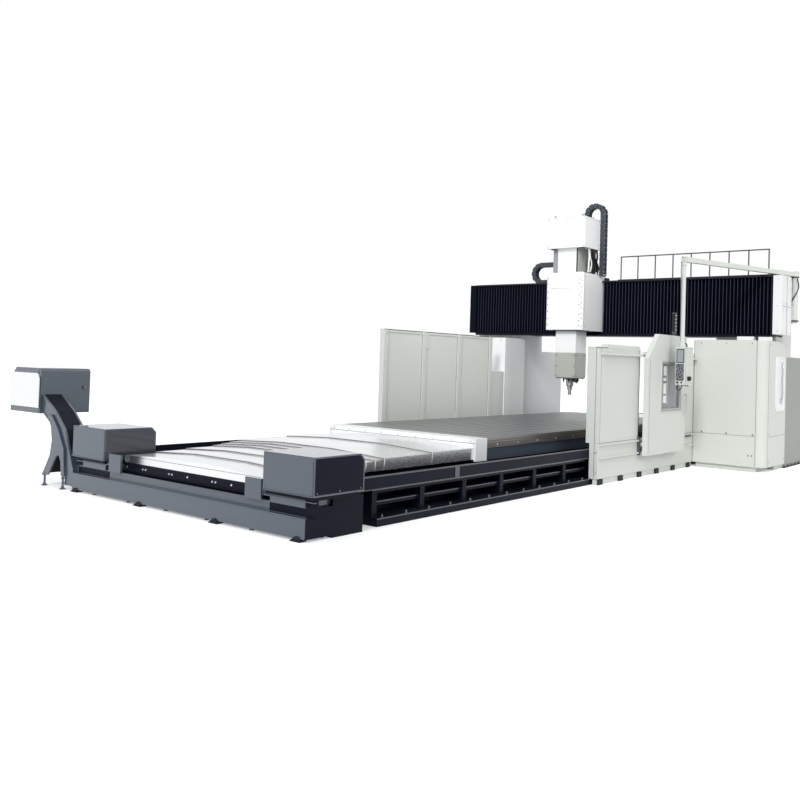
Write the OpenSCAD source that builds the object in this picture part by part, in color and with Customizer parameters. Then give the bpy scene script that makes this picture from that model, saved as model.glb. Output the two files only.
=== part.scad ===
// Gantry machining center with a travelling table.
// X runs along the bed, Y across it towards the far side, Z up. The origin lies on the floor,
// in the middle of the bed, straight under the ram.

/* [Bed] */
// Length of the bed casting
bed_l = 21000; // [20800:100:21400]
// How far the central casting's sides lie inside the table's edge
core_in = 250; // [240:5:260]
// Height of the central bed casting
core_h = 500; // [460:10:520]
// How far the ribbed side walls stop short of the bed's ends
side_back = 630; // [500:10:800]
// How far the ribbed side walls lie outside the table's edge
side_out = 550; // [540:5:600]
// Depth of the pockets in the side walls
pocket_d = 300; // [200:10:400]
// Distance between the side wall's posts
post_pitch = 935; // [800:5:1200]
// Width of one side wall post
post_w = 90; // [60:10:140]
// How far the foot flange stands out
flange_out = 88; // [60:4:120]
// Thickness of the foot flange
flange_h = 100; // [80:5:120]
// Height of the side walls
side_h = 430; // [400:10:440]
// Thickness of the side wall's shelves
shelf_t = 50; // [30:5:60]
// Width of a guide rail
rail_w = 180; // [140:10:220]
// Height of a guide rail
rail_h = 60; // [40:5:70]
// Distance of the outer guide rails from the central casting's sides
rail_in = 300; // [280:10:320]

/* [Chip gutters and trough] */
// Outer height of a chip gutter
gutter_h = 165; // [120:5:180]
// Width of a chip gutter
gutter_w = 480; // [440:10:500]
// Sheet thickness of the gutters
gutter_t = 20; // [10:2:30]
// Gap between the bed and the chip trough
trough_gap = 200; // [180:10:240]
// Width of the chip trough along X
trough_w = 420; // [380:10:420]
// How far the trough passes the near side wall
trough_out0 = 150; // [140:5:180]
// How far the trough passes the far side wall
trough_out1 = 320; // [300:5:350]
// Height of the trough's outer ledge
trough_h = 255; // [220:5:280]
// Height of the set-back rim
rim_h = 105; // [80:5:120]
// Wall thickness of the trough
trough_t = 25; // [15:5:40]
// Clearance under the trough
foot_h = 30; // [20:5:40]
// Length of a drive box along X
box_l = 800; // [700:10:800]
// Width of a drive box
box_w = 785; // [700:5:800]
// Height of a drive box
box_h = 423; // [380:1:450]
// Underside of the drive boxes
box_z = 495; // [480:5:510]
// Chamfer of the drive boxes
box_c = 70; // [40:5:100]
// How far a drive box passes the gutter's inner edge
box_in = 59; // [50:1:80]
// Length of the dark stand under a drive box
stand_l = 500; // [460:10:540]

/* [Chip conveyor] */
// Width of the incline along X
incline_w = 300; // [260:10:360]
// Distance of the incline from the trough's front face
incline_in = 10; // [5:1:30]
// Run of the incline across the bed
incline_run = 900; // [860:10:940]
// Thickness of the incline across its slope
incline_t = 215; // [200:5:240]
// Height of the incline's upper edge where it enters the head
incline_z1 = 1300; // [1280:5:1340]
// Width of the discharge head
head_w = 860; // [800:10:900]
// Height of the discharge head
head_h = 660; // [600:10:700]
// Length of the discharge head along X
head_l = 790; // [740:10:800]
// Underside of the discharge head
head_z = 1020; // [960:10:1060]
// Width of the incline's side flanges
flange_w = 28; // [24:1:34]
// How far the incline's side flanges stand out
flange_t = 8; // [6:1:10]
// Plate thickness of the support leg
leg_t = 24; // [16:2:40]
// Radius of the levelling rods under the leg
level_r = 15; // [10:1:20]
// Radius of the levelling rods' foot discs
disc_r = 45; // [36:1:60]

/* [Way covers] */
// Shortest overlap of two way cover sections
cover_lap = 190; // [160:5:220]
// How far the table may move towards the conveyor
stroke_front = 1000; // [900:20:1000]
// How far the covers pass the bed's ends
cover_out = 450; // [420:5:480]
// Distance of the table's own front section's lip from the table
table_lip_l = 1340; // [1300:5:1380]
// Distance of the table's own rear section's lip from the table
rear_lip_l = 1680; // [1640:5:1720]
// Sheet thickness of the way covers
cover_t = 4; // [3:0.5:6]
// Step in height from one section to the next
cover_dz = 16; // [14:1:17]
// Step in half width from one section to the next
cover_dy = 11; // [10:1:12]
// How far the outermost section lies inside the table's edge
cover_in = 40; // [30:1:60]
// Height of the outermost section's flat top
cover_z = 742; // [735:1:750]
// Half width of the flat top
crown_y = 520; // [400:10:700]
// Fall of the roof from the flat top to the edge
crown_fall = 50; // [30:2:60]
// Lower edge of the cover skirts
skirt_z = 520; // [515:1:525]
// Length of a wiper lip
lip_l = 14; // [10:1:20]
// Running gap under a wiper lip
lip_gap = 0.3; // [0.2:0.1:0.5]
// Height of the deep front panel under the fixed front section
apron_drop = 95; // [60:5:120]

/* [Table] */
// Length of the table
table_l = 8000; // [7900:20:8000]
// Front end of the table with the ram in the middle of its work
table_x = -6580; // [-6600:5:-6560]
// Width of the table
table_w = 3000; // [2990:10:3020]
// Height of the table's top over the floor
table_z = 830; // [825:1:840]
// Thickness of the table's top plate
table_t = 150; // [120:5:160]
// Thickness of the table's ribbed base
base_t = 100; // [80:5:110]
// Width of a T-slot
slot_w = 28; // [22:1:36]
// Depth of a T-slot
slot_d = 48; // [40:1:60]
// Width of a T-slot's foot
slot_foot = 50; // [40:1:56]
// Distance between T-slots
slot_pitch = 200; // [180:5:220]
// Length of the chip aprons at the table's ends
apron_l = 300; // [280:5:320]
// Underside of the table's side skirts
table_skirt_z = 490; // [480:5:500]

/* [Gantry] */
// Front face of the crossbeam
beam_x = 750; // [740:5:760]
// Depth of the crossbeam
beam_d = 1000; // [900:20:1100]
// How far the crossbeam stops short of the columns' outer faces
beam_in = 20; // [10:1:30]
// Underside of the crossbeam
beam_z0 = 2690; // [2680:5:2700]
// Top of the crossbeam
beam_z1 = 3930; // [3920:5:3940]
// Thickness of the beam's end covers
cap_t = 180; // [150:5:200]
// How far the beam's end covers reach behind the beam's front
cap_back = 450; // [400:10:480]
// Height of the lower beam guide rail over the beam's underside
way_low = 170; // [150:5:190]
// Height of the upper beam guide rail under the beam's top
way_top = 280; // [260:5:300]
// How far the beam guide rails stop short of the beam's ends
way_in = 60; // [50:5:80]
// Height of a beam guide rail
way_h = 110; // [90:5:130]
// Thickness of a beam guide rail
way_t = 60; // [50:5:60]
// Gap between the ribbed side walls and the columns
column_gap = 350; // [330:10:400]
// Width of a column across the bed
column_w = 1200; // [1150:10:1205]
// Height of a column behind the crossbeam
column_h = 3620; // [3500:10:3700]
// Depth of a column's upper part behind the crossbeam
neck_d = 80; // [70:5:100]
// Depth of a column's lower part
column_d = 2150; // [2000:10:2200]
// Height of a column's lower part
column_low = 2300; // [2200:10:2350]
// Distance of the bellows' middle plane from the beam
bellows_gap = 125; // [115:5:135]
// Depth of a bellows pleat
pleat_d = 90; // [70:5:100]
// Length of a bellows pleat
pleat_l = 90; // [60:5:120]

/* [Saddle and ram] */
// Middle of the saddle across the bed
saddle_y = 610; // [600:1:620]
// Width of the saddle
saddle_w = 922; // [900:2:940]
// Front face of the saddle
saddle_x = -380; // [-390:5:-370]
// Underside of the saddle
saddle_z0 = 2765; // [2760:5:2780]
// Top of the saddle
saddle_z1 = 4040; // [4020:5:4050]
// Width of the square ram
ram_w = 500; // [480:5:500]
// Lower end of the ram
ram_z = 1700; // [1690:5:1710]
// Gap round the ram where it runs free in the saddle
ram_gap = 10; // [8:1:14]
// Height of the head cover's underside
cap_z = 4600; // [4590:5:4620]
// Height of the head cover
cap_h = 690; // [660:5:700]
// Width of the head cover
cap_w = 920; // [900:5:930]
// Front face of the head cover
cap_x = -364; // [-370:1:-355]
// Depth of the head cover
cap_d = 739; // [720:1:750]
// Radius of a counterbalance rod
rod_r = 28; // [24:1:32]
// Radius of a counterbalance cylinder
cyl_r = 62; // [56:1:66]
// Distance of a counterbalance rod from the middle of the ram
rod_y = 335; // [330:1:340]
// Radius of the spindle nose
spindle_r = 85; // [80:1:90]
// Length of the spindle nose under the ram
spindle_l = 240; // [220:5:260]
// Radius of the cutter
cutter_r = 38; // [30:1:50]
// Length of the cutter
cutter_l = 150; // [120:5:160]
// Running gap of slides and shafts
run_gap = 0.3; // [0.2:0.1:0.5]

/* [Enclosure] */
// Gap between the near side wall and the operator side panels' outer faces
wall_gap = 205; // [195:5:230]
// Gap between the gutter and the lower panel's end return
return_gap = 10; // [8:1:20]
// Thickness of the operator side panels
wall_t = 60; // [50:2:60]
// Front end of the operator side panels
wall_x0 = -4403; // [-4420:1:-4390]
// Front face of the column covers
wall_x1 = -116; // [-120:1:-110]
// Top of the operator side panels
wall_z = 2290; // [2280:5:2300]
// Height of the seam between lower and upper panels
seam_z = 690; // [680:5:700]
// Height of the dark plinth
plinth_h = 100; // [90:5:110]
// Thickness of the front end post
post_t = 220; // [200:5:240]
// Front edge of the doorway
way_x0 = -2800; // [-2900:10:-2700]
// Rear edge of the doorway
way_x1 = -1300; // [-1350:10:-1250]
// Front edge of the door
door_x0 = -2840; // [-2850:5:-2830]
// Rear edge of the door
door_x1 = -1050; // [-1060:5:-1040]
// Lower edge of the door
door_z0 = 400; // [390:5:410]
// Top of the door
door_z1 = 2600; // [2590:5:2610]
// Thickness of the door
door_t = 90; // [80:2:90]
// Gap between the door and the panels
door_gap = 100; // [90:2:110]
// Width of the door's window
pane_w = 880; // [800:10:900]
// Height of the door's window
pane_h = 850; // [800:10:900]
// Lower edge of the door's window
pane_z = 1220; // [1200:10:1240]
// Front edge of the door's window
pane_x = -2230; // [-2240:5:-2220]
// Lower end of the door's handle
handle_z = 1120; // [1050:10:1200]
// Length of the door's handle
handle_l = 360; // [300:10:420]
// Radius of the door's handle
handle_r = 14; // [12:1:18]
// How far the column covers pass the columns' outer faces
cabinet_out = 70; // [60:5:80]
// Height of the column covers
cabinet_h = 2580; // [2560:5:2600]
// Rear end of the column covers
cabinet_x1 = 1250; // [1200:10:1300]
// Radius of the column covers' corner
cabinet_r = 180; // [150:5:200]
// Sheet thickness of the column covers' side
cabinet_t = 60; // [50:2:60]
// Gap between the far side wall and the guard wall
guard_gap = 210; // [200:5:240]
// Front end of the far guard wall
guard_x0 = -4550; // [-4600:10:-4500]
// Rear end of the far guard wall
guard_x1 = -750; // [-800:10:-700]
// Height of the guard wall
guard_h = 2580; // [2560:5:2600]
// Thickness of a guard panel
guard_t = 50; // [40:2:60]
// Side of a guard post
guard_post = 110; // [90:5:130]

/* [Pendant and lamp] */
// Pivot of the pendant arm along X
arm_x = 1420; // [1400:5:1450]
// Distance of the pendant arm's pivot from the near column
arm_out = 160; // [150:5:180]
// Height of the pendant arm
arm_z = 4010; // [4000:5:4040]
// Reach of the arm along X
arm_dx = -3300; // [-3320:5:-3280]
// Reach of the arm across the bed
arm_dy = 1080; // [1060:5:1085]
// Side of the arm's square tube
arm_s = 90; // [80:2:100]
// Radius of the arm's pivot pin
pin_r = 35; // [30:1:40]
// Top of the pendant box
pendant_z1 = 2380; // [2360:5:2400]
// Height of the pendant box
pendant_h = 700; // [680:5:720]
// Width of the pendant box
pendant_w = 400; // [360:5:420]
// Depth of the pendant box
pendant_d = 170; // [150:5:180]
// Radius of the lamp
lamp_r = 45; // [30:1:50]
// Height of the lamp
lamp_h = 420; // [360:5:450]
// Height of the lamp's stem
stem_h = 360; // [300:10:400]

/* [Walkway and guard rail] */
// Width of the walkway
walk_w = 500; // [480:10:540]
// Distance of the walkway from the beam's back
walk_back = 60; // [50:5:80]
// Distance of the guard rail from the beam's back
rail_back = 410; // [390:5:430]
// Distance between the rail's posts
rail_pitch = 415; // [400:5:430]
// Number of posts
rail_n = 9; // [7:1:9]
// First post across the bed
rail_y0 = 60; // [40:5:80]
// Height of the rail over the beam
rail_top = 590; // [560:5:620]
// Radius of the rail's tube
tube_r = 14; // [10:1:18]

/* [Hidden] */
$fn = 48;

slate = "#5d6670";
navy = "#20242e";
steel = "#c9cdd0";
cream = "#d3d6d0";
white = "#eceeed";

core_w = table_w - 2 * core_in;
side_l = bed_l - 2 * side_back;
side_y = table_w / 2 + side_out;
rail_y = core_w / 2 - rail_in;
rail_z = core_h + rail_h;
base_z = rail_z + run_gap;
plate_z = table_z - table_t;
table_x1 = table_x + table_l;
gutter_y1 = side_y + flange_out / 2;
gutter_y0 = gutter_y1 - gutter_w;
gutter_z = side_h;
trough_x1 = -bed_l / 2 - trough_gap;
trough_x = trough_x1 - trough_w;
trough_y0 = -side_y - trough_out0;
trough_y1 = side_y + trough_out1;
box_x0 = trough_x - 30;
gutter_x = box_x0 + box_l;
box_y = gutter_y0 - box_in;
head_y = trough_y1 + incline_run;
column_y0 = side_y + column_gap;
column_y1 = column_y0 + column_w;
beam_y = column_y1 - beam_in;
beam_x1 = beam_x + beam_d;
way_x = beam_x - way_t;
bellows_x = beam_x - bellows_gap;
front_x = -bed_l / 2 - cover_out;
rear_x = bed_l / 2 + cover_out;
table_lip = table_x - table_lip_l;
front_shares = [0, 0.165, 0.33, 0.4917, 0.5479, 0.604, 0.66, 1];
front_lips = [for (share = front_shares) front_x + share * (table_lip - front_x)];
rear_lip_6 = table_x1 + rear_lip_l;
rear_step = (rear_x - rear_lip_6) / 5;
cover_l = rear_step + stroke_front / 5 + cover_lap;
cover_y = table_w / 2 - cover_in;
front_n = 8;
rear_n = 6;
wall_y = -side_y - wall_gap;
guard_y = side_y + guard_gap;
cabinet_y = column_y1 + cabinet_out;
arm_y = -column_y1 - arm_out;
door_y = wall_y - door_gap;
hang_z = wall_z - 80;
rod_x = 120;
saddle_y0 = saddle_y - saddle_w / 2;
saddle_y1 = saddle_y + saddle_w / 2;
saddle_rear = way_x - run_gap;

// A block from one corner to the other
module block(a, b) {
  translate(a) cube([b[0] - a[0], b[1] - a[1], b[2] - a[2]]);
}

// The same block on both sides of the bed
module both_sides(a, b) {
  block(a, b);
  block([a[0], -b[1], a[2]], [b[0], -a[1], b[2]]);
}

// A profile in the YZ plane, run along X
module along_x(x0, x1) {
  translate([x0, 0, 0]) rotate([90, 0, 90]) linear_extrude(x1 - x0) children();
}

// A profile in the XZ plane, run along Y
module along_y(y0, y1) {
  translate([0, y1, 0]) rotate([90, 0, 0]) linear_extrude(y1 - y0) children();
}

// The closed outline of a crowned cover, grown inwards by d
function cover_outline(y, z, foot, d) = [
  [-y + d, foot], [-y + d, z - crown_fall - d * 0.97], [-crown_y, z - d],
  [crown_y, z - d], [y - d, z - crown_fall - d * 0.97], [y - d, foot]
];

// Cross-section of a cover sheet of thickness t
module cover_ring(y, z, foot, t) {
  difference() {
    polygon(cover_outline(y, z, foot, 0));
    polygon(cover_outline(y, z, foot - 1, t));
  }
}

// One way cover section: its sheet, and the wiper lip that rides on the next smaller one.
// level counts the sections from the outermost, and dir is the side where the lip is.
module way_cover(level, lip_x, end_x, dir, has_lip) {
  y = cover_y - level * cover_dy;
  z = cover_z - level * cover_dz;
  inner_y = y - cover_dy + lip_gap;
  inner_z = z - cover_dz + lip_gap;
  x0 = min(lip_x, end_x);
  x1 = max(lip_x, end_x);
  along_x(x0, x1) cover_ring(y, z, skirt_z, cover_t);
  if (has_lip)
    along_x(min(lip_x, lip_x - dir * lip_l), max(lip_x, lip_x - dir * lip_l))
      difference() {
        polygon(cover_outline(y, z, skirt_z, cover_t / 2));
        polygon(cover_outline(inner_y, inner_z, skirt_z - 1, 0));
      }
}

// The bed: a long casting with cross pockets in its top
module bed_casting() {
  color(navy) {
    difference() {
      block([-bed_l / 2, -core_w / 2, 0], [bed_l / 2, core_w / 2, core_h]);
      for (x = [-bed_l / 2 + 700 : 1400 : bed_l / 2 - 1400])
        block([x, -core_w / 2 + 900, 160], [x + 1000, core_w / 2 - 900, core_h + 1]);
    }
    for (end = [-1, 1])
      block(
        [end > 0 ? bed_l / 2 : -bed_l / 2 - 60, -cover_y, 0],
        [end > 0 ? bed_l / 2 + 60 : -bed_l / 2, cover_y, core_h]
      );
    both_sides([trough_x1, box_y + 5, 0], [trough_x1 + stand_l, box_y + box_w - 140, gutter_z]);
    both_sides([-bed_l / 2, core_w / 2 - 1, 0], [trough_x1 + stand_l, box_y + 6, core_h - 100]);
    for (x = [-side_l / 2 + post_w : post_pitch * 2 : side_l / 2 - post_w])
      both_sides([x, core_w / 2, 0], [x + post_w, side_y - pocket_d - 40, side_h - 40]);
  }
}

// A ribbed side wall, on the side given by s
module bed_side(s) {
  near = side_y - pocket_d;
  color(navy) {
    mirror([0, s < 0 ? 1 : 0, 0]) {
      block([-side_l / 2, near - 40, 0], [side_l / 2, near, side_h]);
      block([-side_l / 2, near, 0], [side_l / 2, side_y + flange_out, flange_h]);
      block([-side_l / 2, near, 225], [side_l / 2, side_y - 40, 225 + shelf_t]);
      block([-side_l / 2, near, side_h - shelf_t], [side_l / 2, side_y, side_h]);
      for (i = [0 : floor((side_l - post_w) / post_pitch)])
        block(
          [-side_l / 2 + i * post_pitch, near, flange_h],
          [-side_l / 2 + i * post_pitch + post_w, side_y, side_h]
        );
      block([side_l / 2 - post_w, near, flange_h], [side_l / 2, side_y, side_h]);
    }
  }
}

module bed_side_near() {
  bed_side(-1);
}

module bed_side_far() {
  bed_side(1);
}

// The hardened ways that carry the table
module guide_rails() {
  color("#9a9da0") {
    both_sides(
      [-bed_l / 2 + 60, rail_y - rail_w / 2, core_h],
      [bed_l / 2 - 60, rail_y + rail_w / 2, rail_z]
    );
    block([-bed_l / 2 + 60, -rail_w / 2, core_h], [bed_l / 2 - 60, rail_w / 2, rail_z]);
  }
}

// The open gutters beside the way covers
module chip_gutters() {
  outer = gutter_y0 + gutter_w;
  color(slate)
    for (s = [0, 1])
      mirror([0, s, 0])
        along_x(gutter_x, -gutter_x)
          difference() {
            translate([gutter_y0, gutter_z]) square([gutter_w, gutter_h]);
            translate([gutter_y0 + gutter_t, gutter_z + gutter_t])
              square([gutter_w - 2 * gutter_t, gutter_h]);
            translate([gutter_y0 - 1, gutter_z + 70]) square([gutter_t + 2, gutter_h]);
          }
}

// The cross trough that collects the chips, open on top
module chip_trough() {
  x1 = trough_x1;
  back = trough_x + 70;
  color(slate) {
    difference() {
      union() {
        block([trough_x, trough_y0, foot_h], [x1, trough_y1, trough_h]);
        block([back, trough_y0 + 60, trough_h - 1], [x1, trough_y1, trough_h + rim_h]);
      }
      block(
        [back + trough_t, trough_y0 + 60 + trough_t, foot_h + 40],
        [x1 - trough_t, trough_y1 - trough_t, trough_h + rim_h + 1]
      );
    }
    for (y = [trough_y0 + 100 : 800 : trough_y1 - 100])
      for (x = [trough_x + 60, x1 - 60])
        translate([x, y, 0]) cylinder(r = 28, h = foot_h + 1);
  }
}

// The cover over an auger drive, with the bracket it stands on
module drive_box(s) {
  color(slate)
    mirror([0, s < 0 ? 1 : 0, 0]) {
      along_y(box_y, box_y + box_w)
        polygon([
          [box_x0, box_z], [box_x0, box_z + box_h], [gutter_x - box_c, box_z + box_h],
          [gutter_x, box_z + box_h - box_c], [gutter_x, box_z]
        ]);
      block(
        [box_x0 + 60, box_y + 60, trough_h + rim_h],
        [trough_x1, box_y + box_w - 180, box_z]
      );
      block([trough_x1, box_y + 60, gutter_z], [gutter_x - 60, box_y + box_w - 180, box_z]);
      block([box_x0 + 30, box_y - 330, 366], [box_x0 + 60, box_y - 60, 600]);
      block([box_x0 + 60, box_y - 300, 440], [box_x0 + 100, box_y + 61, 480]);
    }
}

module drive_box_near() {
  drive_box(-1);
}

module drive_box_far() {
  drive_box(1);
}

// An edge of the incline, from the trough to the head, at depth d across its slope
function incline_edge(d) = [
  [trough_y1 + 0.95 * d, 60], [trough_y1 + 0.95 * d, 290 - 0.23 * d],
  [trough_y1 + 0.28 * incline_run + 0.83 * d, 830 - 0.6 * d],
  [trough_y1 + 0.59 * incline_run + 0.59 * d, 1075 - 0.81 * d],
  [head_y, incline_z1 - 1.17 * d]
];

// The band of the incline's side view between two depths
module incline_band(d0, d1) {
  under = incline_edge(d1);
  polygon(concat(incline_edge(d0), [for (i = [len(under) - 1 : -1 : 0]) under[i]]));
}

// The covered incline that lifts the chips, with flanges along its edges
module conveyor_incline() {
  x0 = trough_x + incline_in;
  color(slate) {
    along_x(x0, x0 + incline_w) incline_band(0, incline_t);
    for (x = [x0 - flange_t, x0 + incline_w - flange_t], d = [0, incline_t - flange_w])
      along_x(x, x + 2 * flange_t) incline_band(d, d + flange_w);
  }
}

// The discharge head with chamfered top edges, open below
module conveyor_head() {
  x0 = box_x0;
  c = 130;
  color(slate)
    difference() {
      along_x(x0, x0 + head_l)
        polygon([
          [head_y, head_z], [head_y, head_z + head_h - 40], [head_y + 40, head_z + head_h],
          [head_y + head_w - c, head_z + head_h], [head_y + head_w, head_z + head_h - c],
          [head_y + head_w, head_z]
        ]);
      block(
        [x0 + 40, head_y + 430, head_z - 1],
        [x0 + head_l - 40, head_y + head_w - 40, head_z + 330]
      );
    }
}

// The pale panel on the head's front face
module conveyor_panel() {
  color(white)
    block(
      [box_x0 - 12, head_y + 60, head_z + 90],
      [box_x0, head_y + head_w - 60, head_z + head_h - 90]
    );
}

// The curved plate legs under the incline, on levelling rods
module conveyor_leg() {
  y = trough_y1;
  x0 = trough_x + incline_in;
  color(slate)
    for (x = [x0 - flange_t - leg_t, x0 + incline_w + flange_t]) {
      along_x(x, x + leg_t)
        polygon([
          [y + 190, 180], [y + 270, 180], [y + 295, 380], [y + 350, 470], [y + 430, 440],
          [y + 530, 300], [y + 620, 160], [y + 790, 140], [y + 690, 290], [y + 590, 450],
          [y + 550, 660], [y + 590, 860], [y + 700, head_z], [y + 590, head_z],
          [y + 400, 830], [y + 230, 560]
        ]);
      for (foot = [y + 230, y + 720])
        translate([x + leg_t / 2, foot, 0]) {
          cylinder(r = disc_r, h = 14);
          cylinder(r = level_r, h = 200);
        }
    }
}

module cover_front(k) {
  end_x = k == front_n ? table_x : front_lips[k - 1] + cover_l;
  color(steel) {
    way_cover(front_n - k, front_lips[k - 1], end_x, -1, k > 1);
    if (k == 1) {
      y = cover_y - 7 * cover_dy;
      block(
        [front_lips[0], -y, skirt_z - apron_drop],
        [front_lips[0] + cover_t, y, cover_z - 7 * cover_dz - crown_fall]
      );
      both_sides([-bed_l / 2 + 200, y - 100, core_h], [-bed_l / 2 + 500, y - cover_t, skirt_z + 30]);
    }
  }
}

module cover_rear(k) {
  lip = k == rear_n ? rear_lip_6 : rear_x - (k - 1) * rear_step;
  end_x = k == rear_n ? table_x1 : lip - cover_l;
  level = rear_n - k;
  color(steel) {
    way_cover(level, lip, end_x, 1, k > 1);
    if (k == 1) {
      y = cover_y - level * cover_dy;
      block(
        [lip - cover_t, -y, skirt_z - apron_drop],
        [lip, y, cover_z - level * cover_dz - crown_fall]
      );
      both_sides([bed_l / 2 - 500, y - 100, core_h], [bed_l / 2 - 200, y - cover_t, skirt_z + 30]);
    }
  }
}

module cover_front_1() {
  cover_front(1);
}

module cover_front_2() {
  cover_front(2);
}

module cover_front_3() {
  cover_front(3);
}

module cover_front_4() {
  cover_front(4);
}

module cover_front_5() {
  cover_front(5);
}

module cover_front_6() {
  cover_front(6);
}

module cover_front_7() {
  cover_front(7);
}

module cover_front_8() {
  cover_front(8);
}

module cover_rear_1() {
  cover_rear(1);
}

module cover_rear_2() {
  cover_rear(2);
}

module cover_rear_3() {
  cover_rear(3);
}

module cover_rear_4() {
  cover_rear(4);
}

module cover_rear_5() {
  cover_rear(5);
}

module cover_rear_6() {
  cover_rear(6);
}

// The table's top plate with its T-slots
module table_plate() {
  n = floor((table_w / 2 - 100) / slot_pitch);
  color("#aab0b0")
    difference() {
      block([table_x, -table_w / 2, plate_z], [table_x1, table_w / 2, table_z]);
      for (i = [-n : n])
        along_x(table_x - 1, table_x1 + 1)
          union() {
            translate([i * slot_pitch - slot_w / 2, table_z - slot_d])
              square([slot_w, slot_d + 1]);
            translate([i * slot_pitch - slot_foot / 2, table_z - slot_d])
              square([slot_foot, 22]);
          }
    }
}

// The table's ribbed base, which slides on the rails
module table_base() {
  color("#7b8084") {
    block([table_x, -table_w / 2 + 60, plate_z - 50], [table_x1, table_w / 2 - 60, plate_z]);
    for (y = [-rail_y, 0, rail_y])
      block(
        [table_x + 100, y - rail_w / 2 + 10, base_z],
        [table_x1 - 100, y + rail_w / 2 - 10, plate_z - 50]
      );
    both_sides(
      [table_x, table_w / 2 - 60, table_skirt_z],
      [table_x1, table_w / 2 - 30, plate_z]
    );
  }
}

// The pale chip aprons at both ends of the table
module table_aprons() {
  foot = table_skirt_z;
  color(white)
    for (end = [0, 1]) {
      x0 = end == 0 ? table_x - apron_l : table_x1;
      difference() {
        block([x0, -table_w / 2, foot], [x0 + apron_l, table_w / 2, table_z]);
        along_x(x0 - 1, x0 + apron_l + 1)
          polygon(cover_outline(cover_y + lip_gap, cover_z + lip_gap, foot - 1, 0));
      }
    }
}

// A column: its ledge carries the crossbeam, and its upper part is bolted to the beam's back
module column(s) {
  color(cream)
    mirror([0, s < 0 ? 1 : 0, 0])
      along_y(column_y0, column_y1)
        polygon([
          [beam_x, 0], [beam_x, beam_z0], [beam_x1, beam_z0], [beam_x1, column_h],
          [beam_x1 + neck_d, column_h], [beam_x1 + neck_d, column_low],
          [beam_x + column_d, column_low], [beam_x + column_d, 0]
        ]);
  color(cream)
    mirror([0, s < 0 ? 1 : 0, 0])
      block([beam_x + cap_back, beam_y, beam_z0 - 1], [beam_x1 + 1, column_y1, column_h]);
}

module column_near() {
  column(-1);
}

module column_far() {
  column(1);
}

// The crossbeam, with a tray under the bellows and a roof strip over them
module crossbeam() {
  color(navy) {
    block([beam_x, -beam_y, beam_z0], [beam_x1, beam_y, beam_z1]);
    block([bellows_x - 80, -beam_y, beam_z0], [beam_x, beam_y, beam_z0 + 30]);
  }
}

// The two guide ways on the beam's front
module beam_ways() {
  color("#9a9da0")
    for (z = [beam_z0 + way_low, beam_z1 - way_top])
      block([way_x, -beam_y + way_in, z], [beam_x, beam_y - way_in, z + way_h]);
}

// The pale covers on the beam's ends
module beam_caps() {
  color(white)
    both_sides(
      [bellows_x - 80, beam_y, beam_z0 + 40],
      [beam_x + cap_back, beam_y + cap_t, beam_z1 - 10]
    );
}

// A pleated cover from y0 to y1
module bellows(y0, y1) {
  n = round((y1 - y0) / pleat_l);
  p = (y1 - y0) / n;
  z0 = beam_z0 + 40;
  color(navy)
    translate([0, 0, z0])
      linear_extrude(beam_z1 - 30 - z0)
        polygon(concat(
          [for (i = [0 : n - 1], e = [0, 1])
            [bellows_x + (e == 0 ? pleat_d / 2 - 20 : -pleat_d / 2), y0 + (i + e / 2) * p]],
          [[bellows_x + pleat_d / 2 - 20, y1], [bellows_x + pleat_d / 2, y1],
           [bellows_x + pleat_d / 2, y0]]
        ));
}

module bellows_near() {
  bellows(-beam_y + run_gap, saddle_y0 - run_gap);
}

module bellows_far() {
  bellows(saddle_y1 + run_gap, beam_y - run_gap);
}

// The walkway on the beam
module walkway() {
  color("#4a4e55")
    block(
      [beam_x1 - walk_back - walk_w, -beam_y + 100, beam_z1],
      [beam_x1 - walk_back, rail_y0 + 240, beam_z1 + 40]
    );
}

// The guard rail of the walkway
module guard_rail() {
  x = beam_x1 - rail_back;
  z0 = beam_z1 + 40;
  color("#4a4e55") {
    for (i = [0 : rail_n - 1])
      translate([x, rail_y0 - i * rail_pitch, z0]) {
        cylinder(r = tube_r, h = rail_top);
        cylinder(r = 3 * tube_r, h = 10);
      }
    translate([x, rail_y0 + tube_r, z0 + rail_top]) rotate([90, 0, 0])
      cylinder(r = tube_r, h = (rail_n - 1) * rail_pitch + 2 * tube_r);
  }
}

// Outline of the saddle seen from above, with rounded front corners
module saddle_plan(w) {
  r = 60;
  hull() {
    for (s = [-1, 1])
      translate([saddle_x + r, s * (w / 2 - r)]) circle(r = r, $fn = 32);
    translate([saddle_rear - 40, -w / 2]) square([10, w]);
  }
}

// The saddle: a tall housing round the ram, with shoes on the beam's ways
module saddle_housing() {
  hole = ram_w / 2 + ram_gap;
  color(white)
    difference() {
      union() {
        translate([0, saddle_y, saddle_z0]) linear_extrude(saddle_z1 - saddle_z0)
          saddle_plan(saddle_w);
        block([bellows_x + 60, saddle_y0 + 30, beam_z0 + 140], [saddle_rear, saddle_y1 - 30, beam_z1 - 120]);
      }
      block(
        [-hole, saddle_y - hole, saddle_z0 - 1],
        [hole, saddle_y + hole, saddle_z1 + 1]
      );
      for (s = [-1, 1])
        translate([rod_x, saddle_y + s * rod_y, saddle_z0 + 300])
          cylinder(r = cyl_r, h = saddle_z1);
    }
  color(white)
    for (z = [saddle_z0 + 40, saddle_z1 - 200])
      difference() {
        block(
          [-hole, saddle_y - hole, z],
          [hole, saddle_y + hole, z + 160]
        );
        block(
          [-ram_w / 2 - run_gap, saddle_y - ram_w / 2 - run_gap, z - 1],
          [ram_w / 2 + run_gap, saddle_y + ram_w / 2 + run_gap, z + 161]
        );
      }
}

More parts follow.
